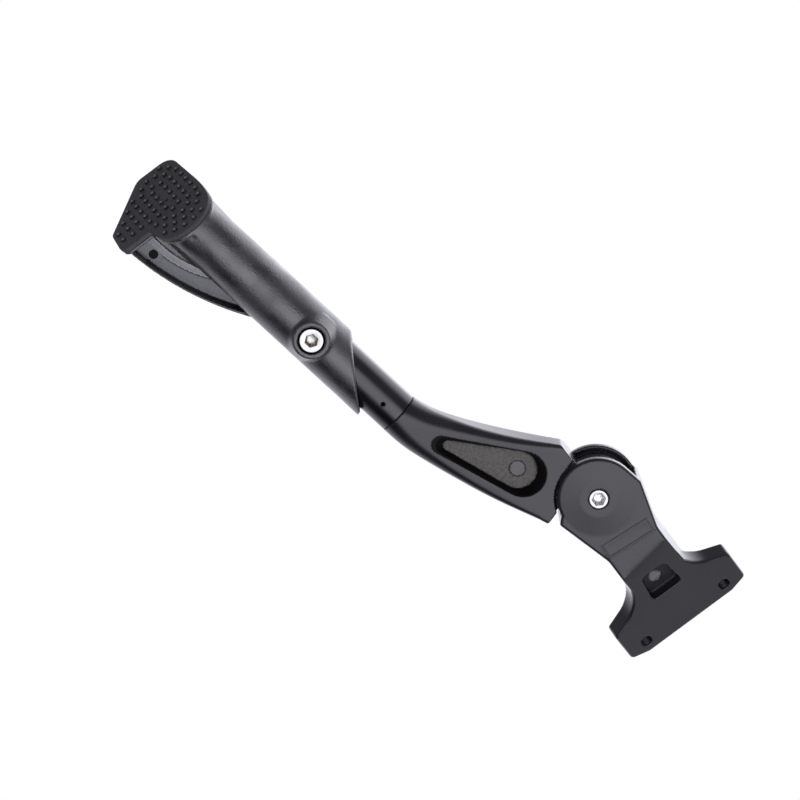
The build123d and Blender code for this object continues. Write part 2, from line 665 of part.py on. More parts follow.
def main():
    """Build every piece and write one file for each."""
    pieces = {
        "mount_bracket": mount_bracket(),
        "pivot_stub_inner": pivot_stub(-1, HALF_DEPTH + BOSS_HEIGHT),
        "pivot_stub_outer": pivot_stub(1, HALF_DEPTH),
        "bracket_spring_pin": spring_pin(0, BRACKET_PIN_Z, -HALF_SLOT, HALF_DEPTH),
        "leg_knuckle": leg_knuckle(),
        "pivot_bush_inner": pivot_bush(-1),
        "pivot_bush_outer": pivot_bush(1),
        "leg_spring_pin": spring_pin(*LEG_PIN, -TONGUE_HALF, TONGUE_HALF),
        "over_centre_spring": over_centre_spring(),
        "leg_tube": leg_tube(),
        "tube_dowel": tube_dowel(),
        "foot_sleeve": foot_sleeve(),
        "sole_pad": sole_pad(),
        "clamp_screw": clamp_screw(),
        "clamp_nut": clamp_nut(),
    }
    os.makedirs("parts", exist_ok=True)
    for name, shape in pieces.items():
        export_step(shape, f"parts/{name}.step")
    swing_axis = (LEG * Location((0, 1, 0))).position - LEG.position
    slide_axis = (LEG * TUBE * Location((0, 0, -1))).position - (LEG * TUBE).position
    print("pivot", LEG.position, "swing axis", swing_axis, "slide axis", slide_axis, "ground", GROUND)


main()
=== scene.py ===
"""Adjustable rear kickstand, dressed for a studio picture taken from in front and below.

Lengths in the classes are millimetres and angles are degrees. Lengths are turned to metres where a mesh is
made. The leg frame has the pivot axis along its Y, and the tube frame has the tube's axis along its Z, as in
the part's source. A facing is the share of a face's normal that points along an axis, from -1 to 1.
"""
import logging
from dataclasses import dataclass, field
from enum import Enum
from math import atan2, cos, hypot, pi, radians, sin, tan
from typing import Callable, Iterable

import bpy
import numpy as np
from mathutils import Matrix, Vector
from mathutils.bvhtree import BVHTree


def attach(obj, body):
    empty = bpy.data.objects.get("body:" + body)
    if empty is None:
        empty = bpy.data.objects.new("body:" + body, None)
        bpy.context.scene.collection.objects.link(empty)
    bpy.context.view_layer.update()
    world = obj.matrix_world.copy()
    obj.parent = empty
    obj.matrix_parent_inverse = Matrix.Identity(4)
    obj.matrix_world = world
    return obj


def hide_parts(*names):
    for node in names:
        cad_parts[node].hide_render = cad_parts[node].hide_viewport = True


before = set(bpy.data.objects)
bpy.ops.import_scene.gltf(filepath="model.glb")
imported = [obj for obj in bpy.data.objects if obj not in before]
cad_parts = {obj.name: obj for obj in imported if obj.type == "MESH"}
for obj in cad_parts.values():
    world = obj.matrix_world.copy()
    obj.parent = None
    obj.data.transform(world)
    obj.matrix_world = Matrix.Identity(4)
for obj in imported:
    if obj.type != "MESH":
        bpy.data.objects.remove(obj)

log = logging.getLogger("kickstand")

MM = 0.001

# Middle of the pivot in the row frame, and how far the leg splays and turns there
PIVOT = (-1.10223, 26.2134, -61.9089)
SPLAY = 30.0
TOE = 5.5
LEG = (
    Matrix.Translation(Vector(PIVOT) * MM)
    @ Matrix.Rotation(radians(SPLAY), 4, "X")
    @ Matrix.Rotation(radians(TOE), 4, "Z")
)
# Seam between leg and tube in the leg frame, and the tube's lean there
SEAM = (46.0, -75.4)
TUBE_LEAN = 10.0
TUBE = (
    LEG
    @ Matrix.Translation(Vector((SEAM[0], 0, SEAM[1])) * MM)
    @ Matrix.Rotation(radians(-TUBE_LEAN), 4, "Y")
)
# Point on the ground that the sole is drawn round, in the row frame
GROUND = (65.981, 130.172, -229.051)

# Share of the way that a point goes to the middle of its neighbours in one round of smoothing
SMOOTH_SHARE = 0.5
# Points of a CAD mesh nearer than this are one point
WELD = 0.002
# Slack for picking points that lie on an edge
NEAR = 0.01
# Least facing of the flat end of a turned piece
END_FACING = 0.9
# Facing at which a point starts to follow a smooth form, and the span until it follows fully
FOLLOW_FROM = 0.88
FOLLOW_SPAN = 0.06
# Edges with at least this angle are bevelled
SHARP = 40.0


class Body(Enum):
    """Moving bodies of the kickstand."""

    BRACKET = "bracket"
    LEG = "leg"
    FOOT = "foot"


class Slot(Enum):
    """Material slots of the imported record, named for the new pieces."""

    CAST = "cast_black"
    PLASTIC = "foot_plastic"
    RUBBER = "sole_rubber"
    BRIGHT = "bright_steel"


def linear(hex_colour: str) -> tuple[float, float, float, float]:
    """Turn an sRGB hex colour into linear red, green, blue and alpha.

    Args:
        hex_colour: colour such as "#1a1a1c".

    Returns:
        Linear RGBA values.
    """
    parts = [int(hex_colour[k:k + 2], 16) / 255 for k in (1, 3, 5)]
    red, green, blue = [p / 12.92 if p <= 0.04045 else ((p + 0.055) / 1.055) ** 2.4 for p in parts]
    return red, green, blue, 1.0


def per_mm(size: float) -> float:
    """Texture scale whose pattern repeats about once in a size in millimetres."""
    return 1 / (size * MM)


def fresh_tree(owner: bpy.types.Material | bpy.types.World) -> bpy.types.NodeTree:
    """Give a material or a world an empty node tree.

    Args:
        owner: material or world.

    Returns:
        Its node tree.
    """
    owner.use_nodes = True
    owner.node_tree.nodes.clear()
    return owner.node_tree


def add_node(tree: bpy.types.NodeTree, kind: str, sockets: dict | None = None, **settings) -> bpy.types.Node:
    """Add a node with its settings, socket values and links.

    Args:
        tree: node tree that takes the node.
        kind: Blender's name for the node type.
        sockets: socket name or number, with a value or an output socket to link.
        settings: properties of the node.

    Returns:
        The new node.
    """
    node = tree.nodes.new(kind)
    for key, value in settings.items():
        setattr(node, key, value)
    for key, value in (sockets or {}).items():
        if isinstance(value, bpy.types.NodeSocket):
            tree.links.new(value, node.inputs[key])
        else:
            node.inputs[key].default_value = value
    return node


@dataclass(frozen=True)
class Finish:
    """A surface: its colour, its spread of gloss, and a grain that lifts the surface.

    The grain is the fine texture of the coat or moulding. At this picture size real grain is finer than
    a pixel, so it is drawn about as coarse as a pixel to show at all.
    """

    name: str
    colour: str
    fleck: str
    roughness: float
    rough_spread: float = 0.08
    metallic: float = 0.0
    specular: float = 0.5
    grain: float = 0.7
    relief: float = 0.05
    drift: float = 14.0
    dust: float = 0.0
    dust_colour: str = "#b9b7b0"
    dust_spacing: float = 5.0
    dust_size: tuple[float, float] = (0.03, 0.055)
    grain_detail: float = 3.0
    drift_detail: float = 4.0
    tint_range: tuple[float, float] = (0.75, 1.25)
    gloss_range: tuple[float, float] = (0.3, 0.7)

    def material(self) -> bpy.types.Material:
        """Return the finish's material, made on first use."""
        return bpy.data.materials.get(self.name) or self._make()

    def _make(self) -> bpy.types.Material:
        """Build the node tree on Object coordinates.

        Returns:
            The new material.
        """
        made = bpy.data.materials.new(self.name)
        tree = fresh_tree(made)
        where = add_node(tree, "ShaderNodeTexCoord").outputs["Object"]
        grain, drift = (
            add_node(
                tree, "ShaderNodeTexNoise", {"Vector": where, "Scale": per_mm(size), "Detail": detail},
            ).outputs["Fac"]
            for size, detail in ((self.grain, self.grain_detail), (self.drift, self.drift_detail))
        )
        both = add_node(tree, "ShaderNodeMath", {0: grain, 1: drift}, operation="ADD").outputs[0]
        tint = add_node(
            tree, "ShaderNodeMapRange",
            {
                "Value": both, "From Min": self.tint_range[0], "From Max": self.tint_range[1],
                "To Min": 0.0, "To Max": 1.0,
            },
        )
        colour = add_node(
            tree, "ShaderNodeMix", {0: tint.outputs[0], 6: linear(self.colour), 7: linear(self.fleck)},
            data_type="RGBA",
        ).outputs[2]
        if self.dust:
            colour = self._dust(tree, where, colour)
        rough = add_node(
            tree, "ShaderNodeMapRange",
            {
                "Value": drift, "From Min": self.gloss_range[0], "From Max": self.gloss_range[1],
                "To Min": self.roughness - self.rough_spread, "To Max": self.roughness + self.rough_spread,
            },
        )
        bump = add_node(
            tree, "ShaderNodeBump", {"Height": grain, "Strength": 1.0, "Distance": self.relief * MM},
        )
        shader = add_node(
            tree, "ShaderNodeBsdfPrincipled",
            {
                "Base Color": colour, "Roughness": rough.outputs[0], "Metallic": self.metallic,
                "Specular IOR Level": self.specular, "Normal": bump.outputs["Normal"],
            },
        )
        add_node(tree, "ShaderNodeOutputMaterial", {"Surface": shader.outputs[0]})
        return made

    def _dust(
        self, tree: bpy.types.NodeTree, where: bpy.types.NodeSocket, colour: bpy.types.NodeSocket
    ) -> bpy.types.NodeSocket:
        """Scatter a few pale specks of dust over the colour.

        Args:
            tree: node tree of the material.
            where: Object coordinates.
            colour: clean colour.

        Returns:
            Colour with dust.
        """
        cells = add_node(
            tree, "ShaderNodeTexVoronoi", {"Vector": where, "Scale": per_mm(self.dust_spacing)}, feature="F1",
        )
        near = add_node(
            tree, "ShaderNodeMapRange",
            {
                "Value": cells.outputs["Distance"], "To Min": 1.0, "To Max": 0.0,
                "From Min": self.dust_size[0], "From Max": self.dust_size[1],
            },
        )
        pick = add_node(tree, "ShaderNodeSeparateColor", {"Color": cells.outputs["Color"]})
        few = add_node(tree, "ShaderNodeMath", {0: pick.outputs[0], 1: self.dust}, operation="LESS_THAN")
        spot = add_node(tree, "ShaderNodeMath", {0: near.outputs[0], 1: few.outputs[0]}, operation="MULTIPLY")
        return add_node(
            tree, "ShaderNodeMix", {0: spot.outputs[0], 6: colour, 7: linear(self.dust_colour)},
            data_type="RGBA",
        ).outputs[2]


# Satin black powder coat on die cast aluminium: soft wide highlights, a faint orange peel
POWDER_COAT = Finish(
    "powder_coated_aluminium", "#131318", "#1c1c22", 0.24, 0.04,
    specular=0.42, grain=0.9, relief=0.012, dust=0.03,
)
# The same coat over the unpolished floor of a die pocket: granular, dull, slightly brown
CAST_FLOOR = Finish(
    "powder_coat_on_rough_casting", "#292725", "#5d5a57", 0.5, 0.1, grain=0.8, relief=0.16, drift=5.0,
)
# Steep walls of that pocket, painted near black as shade, since they see only each other
POCKET_WALL_PAINTED_SHADE = Finish(
    "pocket_wall_painted_shade", "#050506", "#09090a", 0.55, 0.05, specular=0.12, grain=0.9, relief=0.03,
)
# Floor of the plate's deeper pocket, smoother, and darkened as painted shade
POCKET_FLOOR_PAINTED_SHADE = Finish(
    "deep_pocket_floor_painted_shade", "#121213", "#242324", 0.5, 0.08, specular=0.25, grain=0.8, relief=0.08,
)
# Ejector marks are flat; their paler colour is a painted sheen for the light they catch a little more than
# the floor round them
CAST_MARK_PAINTED_SHEEN = Finish("ejector_mark_painted_sheen", "#3f3e40", "#5e5c5b", 0.4, 0.05, grain=0.8, relief=0.05)
# Thin joints and creases, painted near black as shade, too narrow to reflect anything
JOINT_PAINTED_SHADE = Finish("narrow_joint_painted_shade", "#040404", "#070707", 0.7, 0.05, grain=0.8, relief=0.02)
# Gloss black enamel on drawn steel tube: clear lengthwise bands of reflection
TUBE_ENAMEL = Finish(
    "black_enamel_on_steel_tube", "#09090c", "#0f0f13", 0.2, 0.04, grain=1.2, relief=0.003, dust=0.03,
)
# Glass filled nylon with a spark eroded mould grain: dark, with a soft grainy sheen
FOOT_NYLON = Finish(
    "moulded_glass_filled_nylon", "#0c0c0f", "#26262a", 0.38, 0.12,
    specular=0.9, grain=0.9, relief=0.12, dust=0.05,
)
# The core side of the same moulding, polished in the mould; its grey is a painted sheen
CORE_NYLON_PAINTED_SHEEN = Finish(
    "nylon_core_side_painted_sheen", "#47474c", "#58585e", 0.28, 0.04, grain=1.6, relief=0.008, drift=6.0,
)
# The slope beside the sleeve: a paler grey that is a painted sheen, for the sheen that its angle gives it
SLOPE_NYLON_PAINTED_SHEEN = Finish(
    "nylon_slope_painted_sheen", "#b0b0b6", "#c4c4ca", 0.3, 0.05, grain=1.2, relief=0.01, drift=6.0,
)
# Bottom of the ejector mark in that side, darkened as painted shade because little light gets in
CORE_MARK_PAINTED_SHADE = Finish(
    "nylon_ejector_mark_painted_shade", "#060607", "#0d0d0e", 0.6, 0.05, specular=0.12, grain=0.6, relief=0.02,
)
# Moulded rubber: dull charcoal with no clear reflections
SOLE_RUBBER = Finish("moulded_rubber", "#2f2f32", "#3f3f43", 0.66, 0.08, grain=0.8, relief=0.06)
# Sides of the studs, darkened as painted shade for each other's shade
STUD_SIDE_PAINTED_SHADE = Finish("stud_sides_painted_shade", "#050506", "#0a0a0b", 0.5, 0.06, grain=0.5, relief=0.01)
# Tops of the studs, paler as a painted highlight
STUD_TOP_PAINTED_HIGHLIGHT = Finish("stud_top_painted_highlight", "#58585c", "#6c6c70", 0.4, 0.06, grain=0.5, relief=0.01)
# Bright zinc plate on a steel screw: near mirror, a neutral grey
BRIGHT_STEEL = Finish(
    "bright_zinc_plated_steel", "#9d9c9a", "#b3b2b0", 0.26, 0.06, metallic=1.0, grain=0.6, relief=0.004,
)
# The same plate in a clean socket, paler as painted light for the light that its walls send to each other
CLEAN_SOCKET_PAINTED_LIGHT = Finish(
    "socket_steel_painted_light", "#d3d1ce", "#e6e5e3", 0.34, 0.1, metallic=1.0, grain=0.5, relief=0.01,
)
# The same plate deep in a socket: grey brown from oil and dirt left in it, and paler than the plate as
# painted light
OILED_SOCKET_PAINTED_LIGHT = Finish(
    "oiled_socket_steel_painted_light", "#aca59b", "#cdc6bc", 0.38, 0.1, metallic=1.0, grain=0.5, relief=0.02,
)
# Plain drawn steel of pins and spring wire: darker and a little duller than the plated screws
PIN_STEEL = Finish("drawn_steel_pin", "#8d8c8a", "#a3a2a0", 0.32, 0.08, metallic=1.0, grain=0.6, relief=0.006)
# Blackened spring steel of the rolled pin in the tube; on the bolt holes' threads the same dark colour is
# painted shade in the holes
BLACK_PIN_AND_THREAD_SHADE = Finish(
    "blackened_steel_and_thread_shade", "#232325", "#343436", 0.36, 0.06, metallic=1.0, grain=0.5, relief=0.01,
)
# Sintered bronze bush: warm, dull metal with fine pores
BUSH_BRONZE = Finish(
    "sintered_bronze", "#8a6a3c", "#a98552", 0.42, 0.08, metallic=1.0, grain=0.4, relief=0.02,
)


def select_only(piece: bpy.types.Object) -> None:
    """Make one object the only selected and active one.

    Args:
        piece: object to select.
    """
    bpy.ops.object.select_all(action="DESELECT")
    piece.select_set(True)
    bpy.context.view_layer.objects.active = piece


def start(name: str, primitive: Callable[..., set[str]], **sizes) -> bpy.types.Object:
    """Add a primitive as the start of a piece, with nothing else selected.

    Args:
        name: name of the new object.
        primitive: operator that adds the primitive.
        sizes: settings of the operator.

    Returns:
        The new object.
    """
    bpy.ops.object.select_all(action="DESELECT")
    primitive(**sizes)
    piece = bpy.context.active_object
    piece.name = name
    return piece


def into_mesh() -> None:
    """Put the place, turn and scale of the selected object into its mesh."""
    bpy.ops.object.transform_apply(location=True, rotation=True, scale=True)


def edit(piece: bpy.types.Object, everything: bool = True) -> None:
    """Open an object in edit mode with all or nothing of it selected.

    Args:
        piece: object to edit.
        everything: True to select the whole mesh.
    """
    select_only(piece)
    bpy.ops.object.mode_set(mode="EDIT")
    bpy.ops.mesh.select_all(action="SELECT" if everything else "DESELECT")


def leave_edit() -> None:
    """Return to object mode."""
    bpy.ops.object.mode_set(mode="OBJECT")


def edit_faces(piece: bpy.types.Object, chosen: Callable[[bpy.types.MeshPolygon], bool]) -> None:
    """Open an object in edit mode with the faces selected that a test picks.

    Args:
        piece: object to edit.
        chosen: test on a face of the mesh.
    """
    edit(piece, everything=False)
    bpy.ops.mesh.select_mode(type="FACE")
    leave_edit()
    for face in piece.data.polygons:
        face.select = chosen(face)
    bpy.ops.object.mode_set(mode="EDIT")


def extrude(x: float, y: float, z: float) -> None:
    """Extrude the selected region by a shift in metres."""
    bpy.ops.mesh.extrude_region_move(TRANSFORM_OT_translate={"value": (x, y, z)})


def face_outwards(piece: bpy.types.Object) -> None:
    """Turn all the faces of a closed mesh outwards.

    Args:
        piece: object to change.
    """
    edit(piece)
    bpy.ops.mesh.normals_make_consistent(inside=False)
    leave_edit()


def apply_modifier(piece: bpy.types.Object, kind: str, **settings) -> None:
    """Add a modifier with its settings and apply it.

    Args:
        piece: object to change.
        kind: Blender's modifier type.
        settings: properties of the modifier.
    """
    select_only(piece)
    modifier = piece.modifiers.new(kind.title(), kind)
    for key, value in settings.items():
        setattr(modifier, key, value)
    bpy.ops.object.modifier_apply(modifier=modifier.name)


def bevel(piece: bpy.types.Object, width: float, angle: float = SHARP) -> None:
    """Break the sharp edges of a mesh.

    Args:
        piece: object to change.
        width: width of the bevel in millimetres.
        angle: least angle of a sharp edge in degrees.
    """
    apply_modifier(
        piece, "BEVEL", width=width * MM, segments=2, limit_method="ANGLE", angle_limit=radians(angle),
    )


def cut(piece: bpy.types.Object, tool: bpy.types.Object) -> None:
    """Cut a tool's shape out of a piece, then delete the tool."""
    apply_modifier(piece, "BOOLEAN", operation="DIFFERENCE", solver="EXACT", object=tool)
    bpy.data.objects.remove(tool, do_unlink=True)


def join(pieces: list[bpy.types.Object]) -> bpy.types.Object:
    """Join objects into the first of them.

    Args:
        pieces: objects to join.

    Returns:
        The first object, with all the meshes.
    """
    select_only(pieces[0])
    for piece in pieces:
        piece.select_set(True)
    bpy.ops.object.join()
    return pieces[0]


def shade(piece: bpy.types.Object, angle: float | None = None) -> None:
    """Shade a mesh smooth.

    Args:
        piece: object to shade.
        angle: edges above this angle in degrees stay sharp, or None to smooth them all.
    """
    select_only(piece)
    if angle is None:
        bpy.ops.object.shade_smooth()
    else:
        bpy.ops.object.shade_smooth_by_angle(angle=radians(angle))


def place(piece: bpy.types.Object, matrix: Matrix) -> bpy.types.Object:
    """Move an object by a matrix and put that place into its mesh.

    Args:
        piece: object at the origin.
        matrix: place and turn in the row frame.

    Returns:
        The same object, back at the origin.
    """
    select_only(piece)
    piece.matrix_world = matrix
    into_mesh()
    return piece


def local_mm(base: Matrix, point: Vector) -> Vector:
    """A point of the row frame, in millimetres in another frame."""
    return (base.inverted() @ point) / MM


def facing(x: float, y: float, z: float, outward: int, base: Matrix) -> Matrix:
    """Matrix that turns Z along the Y axis of a frame.

    Args:
        x: place in the frame, in millimetres.
        y: place in the frame, in millimetres.
        z: place in the frame, in millimetres.
        outward: 1 to point along +Y, -1 along -Y.
        base: the frame.

    Returns:
        Matrix in the row frame.
    """
    return base @ Matrix.Translation(Vector((x, y, z)) * MM) @ Matrix.Rotation(radians(-90 * outward), 4, "X")


def up_the_tube(height: float) -> Vector:
    """Shift along the tube's line from the ground that rises by a height in millimetres."""
    lean = (TUBE.translation - Vector(GROUND) * MM).normalized()
    return lean * (height * MM / lean.z)


def node_copy(node: str, name: str) -> bpy.types.Object:
    """Copy a CAD node's mesh into a new object and merge its loose triangles.

    Args:
        node: name of the CAD node.
        name: name of the new piece.

    Returns:
        The new object.
    """
    piece = bpy.data.objects.new(name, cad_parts[node].data.copy())
    bpy.context.scene.collection.objects.link(piece)
    piece.data.materials.clear()
    edit(piece)
    bpy.ops.mesh.customdata_custom_splitnormals_clear()
    bpy.ops.mesh.remove_doubles(threshold=WELD * MM)
    leave_edit()
    return piece


def smooth(piece: bpy.types.Object, rounds: int) -> None:
    """Smooth a whole mesh a number of rounds and shade it smooth."""
    apply_modifier(piece, "SMOOTH", factor=SMOOTH_SHARE, iterations=rounds)
    shade(piece)


def soften(piece: bpy.types.Object, voxel: float, rounds: int) -> None:
    """Remesh a casting evenly, with faces of a size in millimetres, and round its edges as a coat does."""
    apply_modifier(piece, "REMESH", mode="VOXEL", voxel_size=voxel * MM, adaptivity=0.0)
    smooth(piece, rounds)


def smooth_where(piece: bpy.types.Object, chosen: Callable[[Vector], bool], rounds: int) -> None:
    """Smooth the part of a mesh that a test picks.

    Args:
        piece: object to change.
        chosen: test on a point in metres in the row frame.
        rounds: how often the points are smoothed.
    """
    group = piece.vertex_groups.new(name="to_smooth")
    group.add([v.index for v in piece.data.vertices if chosen(v.co)], 1.0, "REPLACE")
    apply_modifier(piece, "SMOOTH", factor=SMOOTH_SHARE, iterations=rounds, vertex_group=group.name)
    piece.vertex_groups.clear()


def dress(piece: bpy.types.Object, finish: Finish) -> None:
    """Give an object one finish all over."""
    piece.data.materials.clear()
    piece.data.materials.append(finish.material())


def dress_faces(
    piece: bpy.types.Object, finish: Finish, base: Matrix, chosen: Callable[[Vector, Vector], bool]
) -> None:
    """Give a finish to the faces that a test picks.

    Args:
        piece: object that already has its main finish.
        finish: finish of the picked faces.
        base: frame that the test reads.
        chosen: test on a face's middle, in millimetres, and its normal, both in that frame.
    """
    piece.data.materials.append(finish.material())
    number = len(piece.data.materials) - 1
    turn = base.to_3x3().inverted()
    for face in piece.data.polygons:
        if chosen(local_mm(base, face.center), turn @ face.normal):
            face.material_index = number


def settle(piece: bpy.types.Object, body: Body, slot: Slot, *nodes: str) -> bpy.types.Object:
    """Hand a finished piece to its body and hide the CAD nodes it stands for.

    Args:
        piece: finished object.
        body: body that carries it.
        slot: material slot of the record; not used.
        nodes: CAD nodes that it replaces.

    Returns:
        The same object.
    """
    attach(piece, body.value)
    if nodes:
        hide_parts(*nodes)
    return piece


def skin(name: str, rings: list[list[Vector]]) -> bpy.types.Object:
    """Loft a closed skin through rings of points.

    Args:
        name: name of the object.
        rings: rings with the same number of points each, in metres in the row frame.

    Returns:
        The new object.
    """
    piece = start(
        name, bpy.ops.mesh.primitive_circle_add, vertices=len(rings[0]), radius=1.0, fill_type="NGON",
    )
    edit(piece)
    for _ in rings[1:]:
        extrude(0, 0, 1.0)
    leave_edit()
    points = piece.data.vertices
    level: dict[int, list[int]] = {}
    for point in points:
        level.setdefault(round(point.co.z), []).append(point.index)
    for k, ring in enumerate(rings):
        order = sorted(level[k], key=lambda v: atan2(points[v].co.y, points[v].co.x) % (2 * pi))
        for index, where in zip(order, ring):
            points[index].co = where
    face_outwards(piece)
    return piece


def snap_to(
    piece: bpy.types.Object, form: bpy.types.Object, reach: float,
    share: Callable[[Vector], float] = lambda _: 1.0,
) -> None:
    """Draw the points of a piece that lie near a smooth form onto it, then delete the form.

    Args:
        piece: object to change.
        form: smooth closed form.
        reach: how far a point may lie from the form, in millimetres.
        share: how much of the way a point in metres in the row frame goes, from 0 to 1.
    """
    # A point follows fully up to half the reach, then less and less
    tree = BVHTree.FromObject(form, bpy.context.evaluated_depsgraph_get())
    group = piece.vertex_groups.new(name="on_form")
    for vertex in piece.data.vertices:
        point, normal, _, distance = tree.find_nearest(vertex.co)
        if point is None:
            continue
        near = min(1.0, 2.0 - 2.0 * distance / (reach * MM))
        along = min(1.0, (normal.dot(vertex.normal) - FOLLOW_FROM) / FOLLOW_SPAN)
        if near > 0 and along > 0:
            group.add([vertex.index], near * along * share(vertex.co), "REPLACE")
    apply_modifier(
        piece, "SHRINKWRAP", target=form, wrap_method="NEAREST_SURFACEPOINT", wrap_mode="ON_SURFACE",
        vertex_group=group.name,
    )
    piece.vertex_groups.clear()
    bpy.data.objects.remove(form, do_unlink=True)


def rounded_ring(
    corners: list[tuple[tuple[float, float], float]], per_corner: int
) -> list[tuple[float, float]]:
    """Points round an outline whose corners are arcs.

    Args:
        corners: corner point and radius, in order.
        per_corner: points on each arc.

    Returns:
        Points in the outline's plane, the same number for every corner.
    """
    points = []
    for k, (corner, radius) in enumerate(corners):
        here = Vector(corner)
        to_last = (Vector(corners[k - 1][0]) - here).normalized()
        to_next = (Vector(corners[(k + 1) % len(corners)][0]) - here).normalized()
        half = to_last.angle(to_next) / 2
        centre = here + (to_last + to_next).normalized() * (radius / sin(half))
        first = here + to_last * (radius / tan(half)) - centre
        last = here + to_next * (radius / tan(half)) - centre
        begin = atan2(first.y, first.x)
        sweep = (atan2(last.y, last.x) - begin + pi) % (2 * pi) - pi
        for step in range(per_corner):
            turn = begin + sweep * step / (per_corner - 1)
            points.append((centre.x + radius * cos(turn), centre.y + radius * sin(turn)))
    return points


def spline(at: np.ndarray, values: np.ndarray, fine: np.ndarray) -> np.ndarray:
    """Natural cubic spline through rows of values.

    Args:
        at: places of the rows, rising.
        values: one row for each place.
        fine: places to read.

    Returns:
        One row for each place read.
    """
    count = len(at)
    gap = np.diff(at)
    system = np.eye(count)
    right = np.zeros_like(values)
    for k in range(1, count - 1):
        system[k, k - 1:k + 2] = gap[k - 1], 2 * (gap[k - 1] + gap[k]), gap[k]
        right[k] = 6 * ((values[k + 1] - values[k]) / gap[k] - (values[k] - values[k - 1]) / gap[k - 1])
    bend = np.linalg.solve(system, right)
    k = np.clip(np.searchsorted(at, fine) - 1, 0, count - 2)
    width = gap[k][:, None]
    left, ahead = (at[k + 1] - fine)[:, None], (fine - at[k])[:, None]
    return (
        bend[k] * left**3 / (6 * width) + bend[k + 1] * ahead**3 / (6 * width)
        + (values[k] / width - bend[k] * width / 6) * left
        + (values[k + 1] / width - bend[k + 1] * width / 6) * ahead
    )


@dataclass
class HexSocketScrew:
    """Round screw end with a chamfered rim and a hexagon socket, drawn along +Z from its root."""

    radius: float
    length: float
    socket_finish: Finish = OILED_SOCKET_PAINTED_LIGHT
    socket_flats: float = 5.0
    socket_depth: float = 3.2
    chamfer: float = 0.45
    sides: int = 48
    rim_shares: tuple[float, float] = (0.5, 0.6)
    face_share: float = 0.28
    mouth_width: float = 0.18
    mouth_drop: float = 0.22
    floor_share: float = 0.2
    floor_drop: float = 0.5
    edge: float = 0.12
    sharp: float = 32.0
    smooth_angle: float = 28.0
    # Where the socket takes its own finish: painted light, and for the clamp screw also oil and dirt
    dirt_and_light_below: float = 0.3
    dirt_and_light_above: float = 0.1
    dirt_and_light_share: float = 0.57

    def build(self, name: str, matrix: Matrix) -> bpy.types.Object:
        """Model the screw end.

        Args:
            name: name of the object.
            matrix: place of its root, with Z outward.

        Returns:
            The new object.
        """
        piece = start(
            name, bpy.ops.mesh.primitive_cylinder_add, vertices=self.sides, radius=self.radius * MM,
            depth=self.length * MM, location=(0, 0, self.length * MM / 2),
        )
        into_mesh()
        edit_faces(piece, lambda face: face.normal.z > END_FACING)
        for share in self.rim_shares:
            bpy.ops.mesh.inset(thickness=self.chamfer * MM * share, depth=0)
        bpy.ops.mesh.inset(thickness=(self.radius * self.face_share) * MM, depth=0)
        leave_edit()
        self._to_hexagon(piece)
        bpy.ops.object.mode_set(mode="EDIT")
        bpy.ops.mesh.inset(thickness=self.mouth_width * MM, depth=-self.mouth_drop * MM)
        extrude(0, 0, -self.socket_depth * MM)
        bpy.ops.mesh.inset(thickness=self.socket_flats * self.floor_share * MM, depth=-self.floor_drop * MM)
        leave_edit()
        self._drop_rim(piece)
        bevel(piece, self.edge, self.sharp)
        shade(piece, self.smooth_angle)
        dress(piece, BRIGHT_STEEL)
        # The socket is paler as painted light, and in the clamp screw also grey brown from oil and dirt
        dress_faces(piece, self.socket_finish, Matrix.Identity(4), self._in_socket)
        return place(piece, matrix)

    def _in_socket(self, at: Vector, _: Vector) -> bool:
        """True on the walls and floor of the socket, before the screw is placed."""
        deep = self.dirt_and_light_above < at.z < self.length - self.dirt_and_light_below
        return deep and hypot(at.x, at.y) < self.socket_flats * self.dirt_and_light_share

    def _to_hexagon(self, piece: bpy.types.Object) -> None:
        """Move the points round the selected face onto the socket's hexagon.

        Args:
            piece: screw whose end face is selected.
        """
        apothem = self.socket_flats / 2 * MM
        for face in piece.data.polygons:
            if not face.select:
                continue
            for index in face.vertices:
                point = piece.data.vertices[index].co
                turn = atan2(point.y, point.x)
                from_flat = (turn + pi / 6) % (pi / 3) - pi / 6
                reach = apothem / cos(from_flat)
                point.x, point.y = reach * cos(turn), reach * sin(turn)

    def _drop_rim(self, piece: bpy.types.Object) -> None:
        """Lower the outer edge of the end to make its chamfer.

        Args:
            piece: screw to change.
        """
        for vertex in piece.data.vertices:
            at_rim = hypot(vertex.co.x, vertex.co.y) > (self.radius - NEAR) * MM
            if at_rim and vertex.co.z > (self.length - NEAR) * MM:
                vertex.co.z -= self.chamfer * MM


